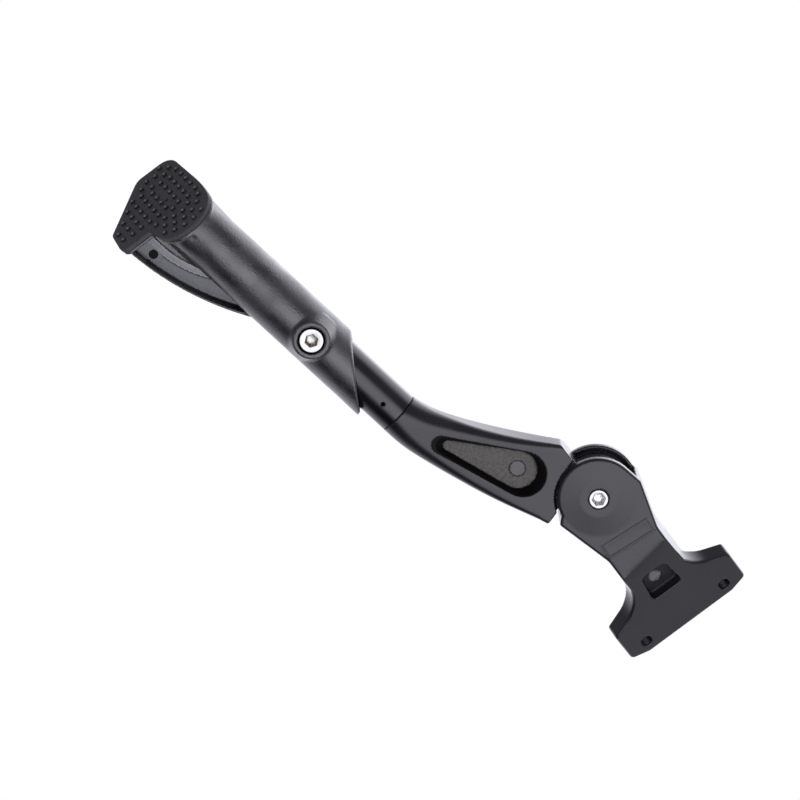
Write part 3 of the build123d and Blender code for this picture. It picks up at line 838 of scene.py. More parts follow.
@dataclass
class CastBracket:
    """Die cast bracket with its threaded holes, pivot screws and blank raised frame."""

    voxel: float = 0.46
    rounds: int = 4
    pocket_half: float = 7.6
    pocket_top: float = -17.0
    pocket_low: float = -31.9
    pocket_floor: float = 3.7
    floor_facing: float = -0.6
    mark_middle: tuple[float, float] = (0.8, -24.45)
    mark_radius: float = 2.7
    half_depth: float = 11.5
    boss: float = 1.0
    channel_half: float = 3.6
    pivot_radius: float = 4.0
    bend_z: float = -39.4
    bend_lean: float = 0.19
    bend_below: float = 9.5
    bend_above: float = 5.2
    bend_depth: float = 3.2
    bend_half: float = 11.0
    bend_rounds: int = 200
    hole_spacing: float = 40.0
    thread_radius: float = 2.56
    thread_crest: float = 2.12
    thread_pitch: float = 1.0
    thread_flank: float = 0.42
    thread_turns: int = 7
    thread_steps: int = 24
    thread_smooth: float = 30.0
    badge_size: tuple[float, float] = (21.5, 6.2)
    badge_line: float = 0.55
    badge_crease: float = 0.5
    badge_root: float = 0.25
    badge_proud: float = 0.05
    badge_rise: float = 0.4
    badge_edge: float = 0.1
    badge_facing: float = 0.5
    badge_z: float = 20.6
    badge_turn: float = -3.0
    badge_margin: float = 0.7
    badge_reach: float = 0.8
    badge_rounds: int = 60
    crease_slack: float = 0.12

    def build(self) -> Iterable[bpy.types.Object]:
        """Model the casting and what is fixed to it.

        Returns:
            The pieces.
        """
        row = Matrix.Identity(4)
        casting = node_copy("mount_bracket", "bracket_casting")
        soften(casting, self.voxel, self.rounds)
        smooth_where(casting, self._at_bend, self.bend_rounds)
        smooth_where(casting, self._at_badge, self.badge_rounds)
        dress(casting, POWDER_COAT)
        # The pocket's floor is darkened as painted shade
        dress_faces(casting, POCKET_FLOOR_PAINTED_SHADE, row, self._on_floor)
        # The ejector mark is paler as a painted sheen
        dress_faces(casting, CAST_MARK_PAINTED_SHEEN, row, self._on_mark)
        yield settle(casting, Body.BRACKET, Slot.CAST, "mount_bracket")
        ends = {"inner": (-1, self.half_depth + self.boss), "outer": (1, self.half_depth)}
        for side, (outward, outer) in ends.items():
            # The pivot screws' sockets are paler as painted light
            screw = HexSocketScrew(self.pivot_radius, outer - self.channel_half, CLEAN_SOCKET_PAINTED_LIGHT)
            root = facing(0, outward * self.channel_half, 0, outward, LEG)
            piece = screw.build(f"pivot_screw_{side}", root)
            yield settle(piece, Body.BRACKET, Slot.BRIGHT, f"pivot_stub_{side}")
        yield self._badge()
        for side, name in ((1, "front"), (-1, "rear")):
            yield self._thread(f"bolt_thread_{name}", side)

    def _badge_place(self, sunk: float) -> Matrix:
        """Place of the badge's middle, sunk by a depth into the neck's front face."""
        turn = Matrix.Rotation(radians(self.badge_turn), 4, "Z")
        return facing(0, -self.half_depth + sunk, self.badge_z, -1, LEG) @ turn

    def _badge(self) -> bpy.types.Object:
        """Blank raised frame on the neck, with a fine crease along both its sides darkened as painted shade.

        Returns:
            The piece.
        """
        badge = start("neck_badge_frame", bpy.ops.mesh.primitive_plane_add, size=1.0)
        wide, high = (side + 2 * self.badge_crease for side in self.badge_size)
        badge.scale = (wide * MM, high * MM, 1.0)
        into_mesh()
        edit(badge)
        for band in (self.badge_crease, self.badge_line, self.badge_crease):
            bpy.ops.mesh.inset(thickness=band * MM, depth=0)
        bpy.ops.mesh.delete(type="FACE")
        bpy.ops.mesh.select_all(action="SELECT")
        extrude(0, 0, self.badge_root * MM)
        leave_edit()
        face_outwards(badge)
        edit_faces(badge, self._on_badge_line)
        extrude(0, 0, self.badge_rise * MM)
        leave_edit()
        bevel(badge, self.badge_edge)
        place(badge, self._badge_place(self.badge_root - self.badge_proud))
        dress(badge, POWDER_COAT)
        # The low bands beside the raised line are darkened as painted shade
        dress_faces(badge, JOINT_PAINTED_SHADE, LEG, self._in_shaded_badge_crease)
        return settle(badge, Body.BRACKET, Slot.CAST)

    def _on_badge_line(self, face: bpy.types.MeshPolygon) -> bool:
        """Test a face of the flat badge, before it is placed.

        Args:
            face: face of the badge.

        Returns:
            True on the front of its line.
        """
        half_wide, half_high = (side / 2 * MM for side in self.badge_size)
        outside = max(abs(face.center.x) - half_wide, abs(face.center.y) - half_high)
        return face.normal.z > self.badge_facing and -self.badge_line * MM < outside < 0

    def _in_shaded_badge_crease(self, at: Vector, _: Vector) -> bool:
        """True on the low bands beside the badge's raised line, which take painted shade, in the leg frame.
        """
        return -at.y - self.half_depth < self.badge_proud + self.crease_slack

    def _thread(self, name: str, side: int) -> bpy.types.Object:
        """Helical thread ridge in one bolt hole.

        Args:
            name: name of the piece.
            side: 1 for the front hole, -1 for the rear one.

        Returns:
            The piece.
        """
        ridge = start(name, bpy.ops.mesh.primitive_circle_add, vertices=3, radius=MM, fill_type="NOTHING")
        flank = self.thread_pitch * self.thread_flank
        profile = ((self.thread_radius, -flank), (self.thread_crest, 0.0), (self.thread_radius, flank))
        for vertex, (radius, height) in zip(ridge.data.vertices, profile):
            vertex.co = Vector((radius, 0, height)) * MM
        apply_modifier(
            ridge, "SCREW", axis="Z", angle=2 * pi, screw_offset=self.thread_pitch * MM,
            iterations=self.thread_turns, steps=self.thread_steps, render_steps=self.thread_steps,
            use_merge_vertices=False,
        )
        edit(ridge)
        bpy.ops.mesh.fill_holes(sides=3)
        bpy.ops.mesh.normals_make_consistent(inside=False)
        leave_edit()
        shade(ridge, self.thread_smooth)
        place(ridge, facing(side * self.hole_spacing / 2, self.thread_pitch / 2, 0, 1, Matrix.Identity(4)))
        # The threads are darkened as painted shade in the holes
        dress(ridge, BLACK_PIN_AND_THREAD_SHADE)
        return settle(ridge, Body.BRACKET, Slot.CAST)

    def _at_bend(self, point: Vector) -> bool:
        """Test a point near the bend between plate and neck.

        Args:
            point: point in metres in the row frame.

        Returns:
            True on the front of the casting, from below the bend to short of the plate's pocket.
        """
        x, y, z = point / MM
        over_line = z - (self.bend_z + self.bend_lean * x)
        near = -self.bend_below < over_line < self.bend_above and abs(x) < self.bend_half
        return near and y < self.bend_depth

    def _at_badge(self, point: Vector) -> bool:
        """Test a point near the badge.

        Args:
            point: point in metres in the row frame.

        Returns:
            True on the neck's front face, up to a margin round the badge.
        """
        local = local_mm(self._badge_place(0.0), point)
        half_wide, half_high = (side / 2 + self.badge_margin for side in self.badge_size)
        return abs(local.x) < half_wide and abs(local.y) < half_high and abs(local.z) < self.badge_reach

    def _on_floor(self, at: Vector, normal: Vector) -> bool:
        """True on the floor of the plate's pocket, in the row frame."""
        inside = abs(at.x) < self.pocket_half and self.pocket_low < at.z < self.pocket_top
        return inside and at.y > self.pocket_floor and normal.y < self.floor_facing

    def _on_mark(self, at: Vector, normal: Vector) -> bool:
        """True on the round ejector mark of the pocket's floor, in the row frame."""
        from_mark = hypot(at.x - self.mark_middle[0], at.z - self.mark_middle[1])
        return from_mark < self.mark_radius and self._on_floor(at, normal)


@dataclass
class LegCasting:
    """Leg casting, flat sided at the fork and round where the tube starts."""

    voxel: float = 0.42
    rounds: int = 4
    last_rounds: int = 2
    stations: int = 40
    per_corner: int = 16
    face_half: float = 11.2
    middles: tuple[tuple[float, float], ...] = (
        (4.7, -4.2), (21.3, -29.3), (30.0, -42.2), (38.2, -56.4), (43.5, -67.3), (46.0, -75.4),
    )
    leans: tuple[float, ...] = (34.0, 34.0, 33.0, 25.0, 15.5, 10.0)
    widths: tuple[float, ...] = (36.6, 28.4, 24.3, 20.9, 19.2, 18.0)
    depths: tuple[float, ...] = (22.4, 21.8, 20.6, 19.0, 18.333, 18.0)
    edges: tuple[float, ...] = (2.1, 2.6, 3.6, 5.4, 7.6, 8.99)
    back_edges: tuple[float, ...] = (11.5, 10.0, 8.4, 8.8, 8.8, 8.99)
    pocket_big: tuple[float, float] = (18.6, -26.2)
    pocket_small: tuple[float, float] = (38.6, -56.1)
    pocket_big_r: float = 9.4
    pocket_small_r: float = 3.7
    pocket_floor: float = -6.3
    pocket_lip: float = 0.3
    pocket_rim: float = 0.4
    floor_facing: float = -0.75
    mark_middle: tuple[float, float] = (19.8, -28.7)
    mark_radius: float = 3.1
    joint_in: float = 0.1
    joint_out: float = 0.45
    round_from: float = 50.0
    round_full: float = 62.0
    seam_reach: float = 1.2
    side_rounds: int = 24
    side_margin: float = 1.5
    side_until: float = 0.9
    fork_radius: float = 25.0
    fork_left: float = 2.5
    facet_z: float = -13.6
    facet_rise: float = 0.325

    def build(self) -> Iterable[bpy.types.Object]:
        """Model the casting.

        Returns:
            The piece.
        """
        casting = node_copy("leg_knuckle", "leg_casting")
        soften(casting, self.voxel, self.rounds)
        smooth_where(casting, self._on_side, self.side_rounds)
        snap_to(casting, skin("leg_form", self._rings()), self.seam_reach, self._near_seam)
        smooth(casting, self.last_rounds)
        dress(casting, POWDER_COAT)
        # The pocket's walls are darkened as painted shade
        dress_faces(casting, POCKET_WALL_PAINTED_SHADE, LEG, self._in_pocket)
        dress_faces(casting, CAST_FLOOR, LEG, self._on_floor)
        # The ejector mark is paler as a painted sheen
        dress_faces(casting, CAST_MARK_PAINTED_SHEEN, LEG, self._on_mark)
        # A thin ring round the ejector mark is darkened as painted shade
        dress_faces(casting, JOINT_PAINTED_SHADE, LEG, self._on_shaded_joint)
        yield settle(casting, Body.LEG, Slot.CAST, "leg_knuckle")

    def _rings(self) -> list[list[Vector]]:
        """Rings of the smooth body, a spline through its sections in the leg frame.

        Returns:
            Rings of points in metres in the row frame.
        """
        rows = []
        sections = zip(self.middles, self.leans, self.widths, self.depths, self.edges, self.back_edges)
        for (x, z), lean, width, depth, front_r, back_r in sections:
            across = Vector((cos(radians(lean)), 0, sin(radians(lean))))
            right, back = width / 2, depth / 2
            corners = [
                ((right, -back), front_r),
                ((right, back), back_r),
                ((-right, back), back_r),
                ((-right, -back), front_r),
            ]
            ring = rounded_ring(corners, self.per_corner)
            rows.append([Vector((x, 0, z)) + across * a + Vector((0, b, 0)) for a, b in ring])
        table = np.array([[tuple(p) for p in row] for row in rows])
        steps = np.linalg.norm(np.diff(np.array(self.middles), axis=0), axis=1)
        at = np.concatenate([[0.0], np.cumsum(steps)])
        fine = np.linspace(0.0, at[-1], self.stations)
        even = spline(at, table.reshape(len(at), -1), fine).reshape(self.stations, -1, 3)
        return [[LEG @ (Vector(p) * MM) for p in ring] for ring in even]

    def _near_seam(self, point: Vector) -> float:
        """Tell how near a point is to the round end of the leg.

        Args:
            point: point in metres in the row frame.

        Returns:
            From 0 at the pocket to 1 at the round end.
        """
        local = local_mm(LEG, point)
        top, end = Vector(self.middles[0]), Vector(self.middles[-1])
        down = (Vector((local.x, local.z)) - top).dot((end - top).normalized())
        return min(max((down - self.round_from) / (self.round_full - self.round_from), 0.0), 1.0)

    def _on_side(self, point: Vector) -> bool:
        """Test a point of the long rounded sides.

        Args:
            point: point in metres in the row frame.

        Returns:
            True on the sides, clear of the pocket, of the cuts at the fork and of the round end.
        """
        local = local_mm(LEG, point)
        off_fork = hypot(local.x, local.z) > self.fork_radius and local.x > self.fork_left
        off_facet = local.z < self.facet_z + self.facet_rise * local.x
        off_pocket = local.y > 0 or self._from_pocket(local) > self.side_margin
        return off_fork and off_facet and off_pocket and self._near_seam(point) < self.side_until

    def _from_pocket(self, at: Vector) -> float:
        """Distance in the leg's plane from the pocket's outline.

        Args:
            at: point in the leg frame.

        Returns:
            Distance in millimetres, below 0 inside the pocket.
        """
        axis = Vector(self.pocket_small) - Vector(self.pocket_big)
        away = Vector((at.x, at.z)) - Vector(self.pocket_big)
        along = min(max(away.dot(axis) / axis.length_squared, 0.0), 1.0)
        radius = self.pocket_big_r + (self.pocket_small_r - self.pocket_big_r) * along
        return (away - axis * along).length - radius

    def _in_pocket(self, at: Vector, _: Vector) -> bool:
        """True on the walls and the floor of the leg's pocket, in the leg frame."""
        return self._from_pocket(at) < self.pocket_lip and self.pocket_rim - self.face_half < at.y < 0

    def _on_floor(self, at: Vector, normal: Vector) -> bool:
        """True on the floor of the leg's pocket, in the leg frame."""
        return self._in_pocket(at, normal) and at.y > self.pocket_floor and normal.y < self.floor_facing

    def _from_mark(self, at: Vector) -> float:
        """Distance from the middle of the ejector mark, in the leg frame."""
        return hypot(at.x - self.mark_middle[0], at.z - self.mark_middle[1])

    def _on_mark(self, at: Vector, normal: Vector) -> bool:
        """True on the round ejector mark of the pocket's floor, in the leg frame."""
        return self._from_mark(at) < self.mark_radius and self._on_floor(at, normal)

    def _on_shaded_joint(self, at: Vector, normal: Vector) -> bool:
        """True on the thin ring round the ejector mark that takes painted shade, in the leg frame."""
        ring = self.mark_radius - self.joint_in < self._from_mark(at) < self.mark_radius + self.joint_out
        return ring and self._on_floor(at, normal)


@dataclass
class StudRing:
    """One ring of studs on the sole, an upright oval of evenly spaced places."""

    half_width: float
    half_length: float
    count: int
    phase: float

    def places(self) -> list[tuple[float, float]]:
        """Evenly spaced places round the oval, whose sides are straight.

        Returns:
            Places about the ring's middle, in millimetres.
        """
        straight = 2 * (self.half_length - self.half_width)
        arc = pi * self.half_width
        total = 2 * (straight + arc)
        places = []
        for k in range(self.count):
            run = (k + self.phase) / self.count * total
            side = 1 if run < straight + arc else -1
            run %= straight + arc
            if run < straight:
                x, y = self.half_width, -straight / 2 + run
            else:
                turn = (run - straight) / self.half_width
                x, y = self.half_width * cos(turn), straight / 2 + self.half_width * sin(turn)
            places.append((side * x, side * y))
        return places


@dataclass
class Foot:
    """Moulded foot with its sleeve, kick tab, clamp screw and rubber sole."""

    voxel: float = 0.5
    rounds: int = 4
    last_rounds: int = 2
    sleeve_radius: float = 11.75
    sleeve_tip: float = 9.5
    tip_blunt: float = 3.0
    tip_press: float = 0.6
    boss_top: float = 13.5
    clamp_drop: float = 48.2
    head_radius: float = 5.0
    head_height: float = 4.0
    thread_radius: float = 3.0
    screw_length: float = 8.5
    screw_sides: int = 32
    flare_start: float = 93.0
    flare_inset: float = 0.8
    flare_tail: float = -10.2
    flare_tail_r: float = 9.0
    flare_steps: int = 12
    flare_per_corner: int = 16
    flare_reach: float = 0.5
    flare_rounds: int = 90
    flare_top: float = -80.0
    flare_clear: float = 5.0
    flare_wall: float = 1.2
    tab_left: float = 7.0
    tab_front: float = -4.0
    sole_left: float = -13.6
    sole_waist: float = 12.9
    sole_front: float = 13.768
    sole_front_r: float = 11.3
    sole_front_left_r: float = 13.0
    sole_tail: float = 32.4
    web_depth: float = 6.5
    web_slack: float = 1.0
    web_top: float = -72.0
    web_facing: float = -0.85
    slope_left: float = 10.5
    slope_depths: tuple[float, float] = (0.3, 7.0)
    slope_top: float = -88.0
    slope_side_facing: float = 0.5
    slope_facings: tuple[float, float] = (-0.85, -0.2)
    tab_pad: tuple[tuple[float, float], ...] = (
        (18.3, -127.5), (18.6, -113.6), (21.9, -112.4), (25.0, -117.3), (25.3, -127.5),
    )
    tab_pad_root: float = 0.1
    tab_pad_rise: float = 0.55
    tab_pad_edge: float = 0.12
    tab_mark: tuple[float, float] = (21.4, -116.5)
    tab_mark_radius: float = 1.9
    tab_mark_depth: float = 0.4
    tab_mark_sides: int = 32
    tab_mark_slack: float = 0.02
    tab_mark_below: float = 0.15
    pad_thick: float = 2.2
    pad_edge: float = 0.25
    pad_smooth: float = 35.0
    gate_mark: tuple[float, float] = (1.7, 9.6)
    gate_radius: float = 0.8
    gate_depth: float = 1.0
    gate_sides: int = 20
    stud_height: float = 0.9
    stud_radius: float = 1.1
    stud_lean: float = 0.12
    stud_sides: int = 10
    stud_rim: float = 0.42
    stud_taper: float = 0.9
    stud_dome: float = 0.18
    stud_sink: float = 0.02
    stud_smooth: float = 40.0
    stud_facing: float = -0.95
    stud_margin: float = 1.4
    stud_feel: float = 1.3
    stud_middle: tuple[float, float] = (1.5, 12.0)
    rings: list[StudRing] = field(default_factory=lambda: [
        StudRing(2.8, 10.2, 11, 0.2),
        StudRing(7.0, 15.2, 18, 0.1),
        StudRing(11.4, 19.2, 23, 0.0),
        StudRing(15.6, 23.4, 28, 0.1),
        StudRing(20.0, 27.6, 33, 0.0),
        StudRing(24.4, 31.8, 38, 0.1),
    ])

    def build(self) -> Iterable[bpy.types.Object]:
        """Model the moulding, its sole and its clamp screw.

        Returns:
            The pieces.
        """
        moulding = node_copy("foot_sleeve", "foot_moulding")
        soften(moulding, self.voxel, self.rounds)
        snap_to(moulding, skin("flare_form", self._flare_rings()), self.flare_reach)
        self._blunt_tip(moulding)
        smooth_where(moulding, self._at_flare, self.flare_rounds)
        smooth(moulding, self.last_rounds)
        dress(moulding, FOOT_NYLON)
        # The kick tab's web is paler as a painted sheen
        dress_faces(moulding, CORE_NYLON_PAINTED_SHEEN, TUBE, self._on_web)
        # The slope is paler as a painted sheen
        dress_faces(moulding, SLOPE_NYLON_PAINTED_SHEEN, TUBE, self._on_slope)
        yield settle(moulding, Body.FOOT, Slot.PLASTIC, "foot_sleeve")
        yield self._tab_pad()
        pad = self._pad()
        yield pad
        yield self._studs(pad)
        yield self._screw()

    def _blunt_tip(self, moulding: bpy.types.Object) -> None:
        """Press the sharp tip of the slanted cut back to a blunt one.

        Args:
            moulding: object to change.
        """
        into = TUBE.inverted()
        for vertex in moulding.data.vertices:
            local = into @ vertex.co
            beyond = local.z + (self.sleeve_tip + self.tip_blunt) * MM
            if beyond > 0 and local.x > 0:
                local.z -= beyond * self.tip_press
                vertex.co = TUBE @ local

    def _at_flare(self, point: Vector) -> bool:
        """Test a point where the flare runs into the sleeve.

        Args:
            point: point in metres in the row frame.

        Returns:
            True on the outside of the flare, clear of the sole and the kick tab.
        """
        local = local_mm(TUBE, point)
        over_sole = point.z / MM > GROUND[2] + self.flare_clear
        off_tab = local.x < self.tab_left or local.y < self.tab_front
        outside = hypot(local.x, local.y) > self.sleeve_radius - self.flare_wall
        return over_sole and off_tab and outside and local.z < self.flare_top

    def _on_web(self, at: Vector, normal: Vector) -> bool:
        """True on the thin web of the kick tab, in the tube frame."""
        inside = at.x > self.sleeve_radius and abs(at.y - self.web_depth) < self.web_slack
        return inside and at.z < self.web_top and normal.y < self.web_facing

    def _on_slope(self, at: Vector, normal: Vector) -> bool:
        """Test a face between the kick tab's web and the sleeve.

        Args:
            at: middle of the face in the tube frame.
            normal: normal of the face in the tube frame.

        Returns:
            True on the slope there.
        """
        inside = at.x > self.slope_left and self.slope_depths[0] < at.y < self.slope_depths[1]
        leaning = self.slope_facings[0] < normal.y < self.slope_facings[1]
        return inside and at.z < self.slope_top and normal.x > self.slope_side_facing and leaning

    def _tab_pad(self) -> bpy.types.Object:
        """Raised corner on the kick tab's web, with the round mark of an ejector pin.

        Returns:
            The piece.
        """
        pad = start(
            "tab_corner_pad", bpy.ops.mesh.primitive_circle_add, vertices=len(self.tab_pad), radius=MM,
            fill_type="NGON",
        )
        for vertex, (x, z) in zip(pad.data.vertices, self.tab_pad):
            vertex.co = Vector((x, self.tab_pad_root, z)) * MM
        edit(pad)
        extrude(0, -(self.tab_pad_rise + self.tab_pad_root) * MM, 0)
        leave_edit()
        face_outwards(pad)
        pin = start(
            "ejector_pin", bpy.ops.mesh.primitive_cylinder_add, vertices=self.tab_mark_sides,
            radius=self.tab_mark_radius * MM, depth=2 * self.tab_mark_depth * MM,
            location=(self.tab_mark[0] * MM, -self.tab_pad_rise * MM, self.tab_mark[1] * MM),
            rotation=(pi / 2, 0, 0),
        )
        cut(pad, pin)
        bevel(pad, self.tab_pad_edge)
        place(pad, TUBE @ Matrix.Translation(Vector((0, self.web_depth, 0)) * MM))
        # The raised corner is paler as a painted sheen
        dress(pad, CORE_NYLON_PAINTED_SHEEN)
        # The ejector mark is darkened as painted shade
        dress_faces(pad, CORE_MARK_PAINTED_SHADE, TUBE, self._in_tab_mark)
        return settle(pad, Body.FOOT, Slot.PLASTIC)

    def _in_tab_mark(self, at: Vector, _: Vector) -> bool:
        """Test a face of the raised corner.

        Args:
            at: middle of the face in the tube frame.

        Returns:
            True inside the ejector mark.
        """
        from_mark = hypot(at.x - self.tab_mark[0], at.z - self.tab_mark[1])
        below = at.y > self.web_depth - self.tab_pad_rise + self.tab_mark_below
        return below and from_mark < self.tab_mark_radius + self.tab_mark_slack

    def _flare_rings(self) -> list[list[Vector]]:
        """Rings of the smooth flare from the round sleeve to the sole.

        Returns:
            Rings of points in metres in the row frame.
        """
        ring = self.sleeve_radius - self.flare_inset
        square = [(ring, -ring), (ring, ring), (-ring, ring), (-ring, -ring)]
        upper = rounded_ring([(p, ring - NEAR) for p in square], self.flare_per_corner)
        right = self.sole_waist - self.flare_inset
        front = -self.sole_front + self.flare_inset
        corners = [
            ((right, front), self.sole_front_r - self.flare_inset),
            ((right, self.sole_tail - ring), ring / 2),
            ((self.flare_tail, self.sole_tail - self.flare_inset), self.flare_tail_r),
            ((self.sole_left + self.flare_inset, front), self.sole_front_left_r - self.flare_inset),
        ]
        lower = rounded_ring(corners, self.flare_per_corner)
        top = [TUBE @ (Vector((x, y, -self.flare_start)) * MM) for x, y in upper]
        middle = Vector(GROUND) * MM + up_the_tube(self.pad_thick)
        low = [middle + Vector((x, y, 0)) * MM for x, y in lower]
        steps = self.flare_steps
        return [[a.lerp(b, k / steps) for a, b in zip(top, low)] for k in range(steps + 1)]

    def _pad(self) -> bpy.types.Object:
        """Rubber pad whose lower face is raised by the height of the studs.

        Returns:
            The piece.
        """
        pad = node_copy("sole_pad", "sole_rubber_pad")
        lift = up_the_tube(self.stud_height)
        for vertex in pad.data.vertices:
            if vertex.co.z < (GROUND[2] + self.pad_thick / 2) * MM:
                vertex.co += lift
        gate = start(
            "gate_pin", bpy.ops.mesh.primitive_cylinder_add, vertices=self.gate_sides,
            radius=self.gate_radius * MM, depth=2 * self.gate_depth * MM,
            location=(
                GROUND[0] * MM + self.gate_mark[0] * MM,
                GROUND[1] * MM + self.gate_mark[1] * MM,
                min(v.co.z for v in pad.data.vertices),
            ),
        )
        cut(pad, gate)
        bevel(pad, self.pad_edge)
        shade(pad, self.pad_smooth)
        dress(pad, SOLE_RUBBER)
        return settle(pad, Body.FOOT, Slot.RUBBER, "sole_pad")

    def _stud(self) -> bpy.types.Object:
        """One round stud with a tapered side, hanging from the origin.

        Returns:
            The stud.
        """
        stud = start(
            "stud", bpy.ops.mesh.primitive_cylinder_add, vertices=self.stud_sides,
            radius=self.stud_radius * MM, depth=self.stud_height * MM,
            location=(0, 0, -self.stud_height * MM / 2),
        )
        into_mesh()
        edit_faces(stud, lambda face: face.normal.z < -END_FACING)
        bpy.ops.mesh.inset(thickness=self.stud_rim * MM, depth=0)
        leave_edit()
        for vertex in stud.data.vertices:
            on_side = hypot(vertex.co.x, vertex.co.y) > (self.stud_radius - NEAR) * MM
            if on_side and vertex.co.z < -0.5 * self.stud_height * MM:
                vertex.co.x *= self.stud_taper
                vertex.co.y *= self.stud_taper
                vertex.co.z += self.stud_dome * MM
        return stud

    def _stud_places(self, pad: bpy.types.Object) -> list[Vector]:
        """Places of the studs on the pad's lower face, kept off its edge.

        Args:
            pad: the rubber pad.

        Returns:
            Places in metres in the row frame.
        """
        low = min(v.co.z for v in pad.data.vertices)
        tree = BVHTree.FromObject(pad, bpy.context.evaluated_depsgraph_get())
        middle = Vector(GROUND) * MM
        reach = self.stud_margin * MM
        around = [Vector((reach * cos(t), reach * sin(t), 0)) for t in (0, pi / 2, pi, 3 * pi / 2)]
        below, upward = Vector((0, 0, -MM)), Vector((0, 0, 1))
        places = []
        for x, y in (spot for ring in self.rings for spot in ring.places()):
            side = self.stud_middle[0] + x + self.stud_lean * y
            at = Vector((middle.x + side * MM, middle.y + (self.stud_middle[1] + y) * MM, low))
            if all(tree.ray_cast(at + shift + below, upward, self.stud_feel * MM)[0] for shift in around):
                places.append(at)
        return places

    def _studs(self, pad: bpy.types.Object) -> bpy.types.Object:
        """All the studs in one object, copies of one stud.

        Args:
            pad: the rubber pad that carries them.

        Returns:
            The piece.
        """
        first = self._stud()
        copies = []
        for at in self._stud_places(pad):
            copy = bpy.data.objects.new("stud", first.data.copy())
            bpy.context.scene.collection.objects.link(copy)
            copy.location = at + Vector((0, 0, self.stud_sink * MM))
            copies.append(copy)
        bpy.data.objects.remove(first, do_unlink=True)
        studs = join(copies)
        studs.name = "sole_studs"
        into_mesh()
        shade(studs, self.stud_smooth)
        # Stud sides are darkened as painted shade
        dress(studs, STUD_SIDE_PAINTED_SHADE)
        # Stud tops are paler as a painted highlight
        dress_faces(studs, STUD_TOP_PAINTED_HIGHLIGHT, Matrix.Identity(4), lambda _, normal: normal.z < self.stud_facing)
        return settle(studs, Body.FOOT, Slot.RUBBER)

    def _screw(self) -> bpy.types.Object:
        """Clamp screw: socket head with its shank.

        Returns:
            The piece.
        """
        seat = facing(0, self.head_height - self.boss_top, -self.clamp_drop, -1, TUBE)
        head = HexSocketScrew(self.head_radius, self.head_height).build("clamp_cap_screw", seat)
        shank = start(
            "clamp_shank", bpy.ops.mesh.primitive_cylinder_add, vertices=self.screw_sides,
            radius=self.thread_radius * MM, depth=self.screw_length * MM,
            location=(0, 0, -self.screw_length * MM / 2),
        )
        into_mesh()
        dress(shank, BRIGHT_STEEL)
        place(shank, seat)
        return settle(join([head, shank]), Body.FOOT, Slot.BRIGHT, "clamp_screw")


@dataclass
class PlainNodes:
    """CAD pieces whose shape is right as it is, with the finish each one takes."""

    finishes: dict[str, Finish] = field(default_factory=lambda: {
        "leg_tube": TUBE_ENAMEL,
        "tube_dowel": BLACK_PIN_AND_THREAD_SHADE,
        "bracket_spring_pin": PIN_STEEL,
        "leg_spring_pin": PIN_STEEL,
        "over_centre_spring": PIN_STEEL,
        "pivot_bush_inner": BUSH_BRONZE,
        "pivot_bush_outer": BUSH_BRONZE,
        "clamp_nut": PIN_STEEL,
    })

    def build(self) -> Iterable[bpy.types.Object]:
        """Dress the nodes.

        Returns:
            The dressed nodes.
        """
        for name, finish in self.finishes.items():
            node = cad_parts[name]
            for slot in node.material_slots:
                slot.material = finish.material()
            yield node


@dataclass
class PhotoView:
    """Camera of the photograph, in front of the mounting face and below it."""

    tilt: float = 41.5
    drift: float = 0.047
    roll: float = -143.31
    distance: float = 1500.0
    focal_pixels: float = 3600.0
    frame_pixels: float = 800.0
    origin_pixel: tuple[float, float] = (685.35, 612.8)
    sensor: float = 36.0
    clip: tuple[float, float] = (0.01, 50.0)

    def axes(self) -> tuple[Vector, Vector, Vector]:
        """Directions of the picture in the row frame.

        Returns:
            Right, up and forward.
        """
        forward = Vector((self.drift, cos(radians(self.tilt)), sin(radians(self.tilt)))).normalized()
        level = (Vector((1, 0, 0)) - forward * forward.x).normalized()
        above = level.cross(forward)
        turn = radians(self.roll)
        return level * cos(turn) - above * sin(turn), level * sin(turn) + above * cos(turn), forward

    def at(self, right: float, up: float, forward: float) -> Vector:
        """Point given along the picture's own directions from the frame's origin, in millimetres."""
        r, u, f = self.axes()
        return (r * right + u * up + f * forward) * MM

    def build(self) -> None:
        """Make the camera."""
        right, up, forward = self.axes()
        half = self.frame_pixels / 2
        scale = self.distance / self.focal_pixels
        side = (self.origin_pixel[0] - half) * scale
        rise = (half - self.origin_pixel[1]) * scale
        data = bpy.data.cameras.new("photo_camera")
        data.sensor_width = self.sensor
        data.lens = self.sensor * self.focal_pixels / self.frame_pixels
        data.clip_start, data.clip_end = self.clip
        camera = bpy.data.objects.new("photo_camera", data)
        bpy.context.scene.collection.objects.link(camera)
        turn = Matrix((right, up, -forward)).transposed().to_4x4()
        camera.matrix_world = Matrix.Translation(self.at(-side, -rise, -self.distance)) @ turn
        bpy.context.scene.camera = camera


@dataclass
class Softbox:
    """Square lamp aimed at the part, placed along the picture's own directions from its middle.

    Its size is in metres.
    """

    name: str
    right: float
    up: float
    forward: float
    size: float
    watts: float


@dataclass
class TentPanel:
    """Soft edged patch of the light tent, in a direction given along the picture's own axes.

    A negative strength is a dark card.
    """

    right: float
    up: float
    forward: float
    half_angle: float
    strength: float
    core_angle: float = 6.0


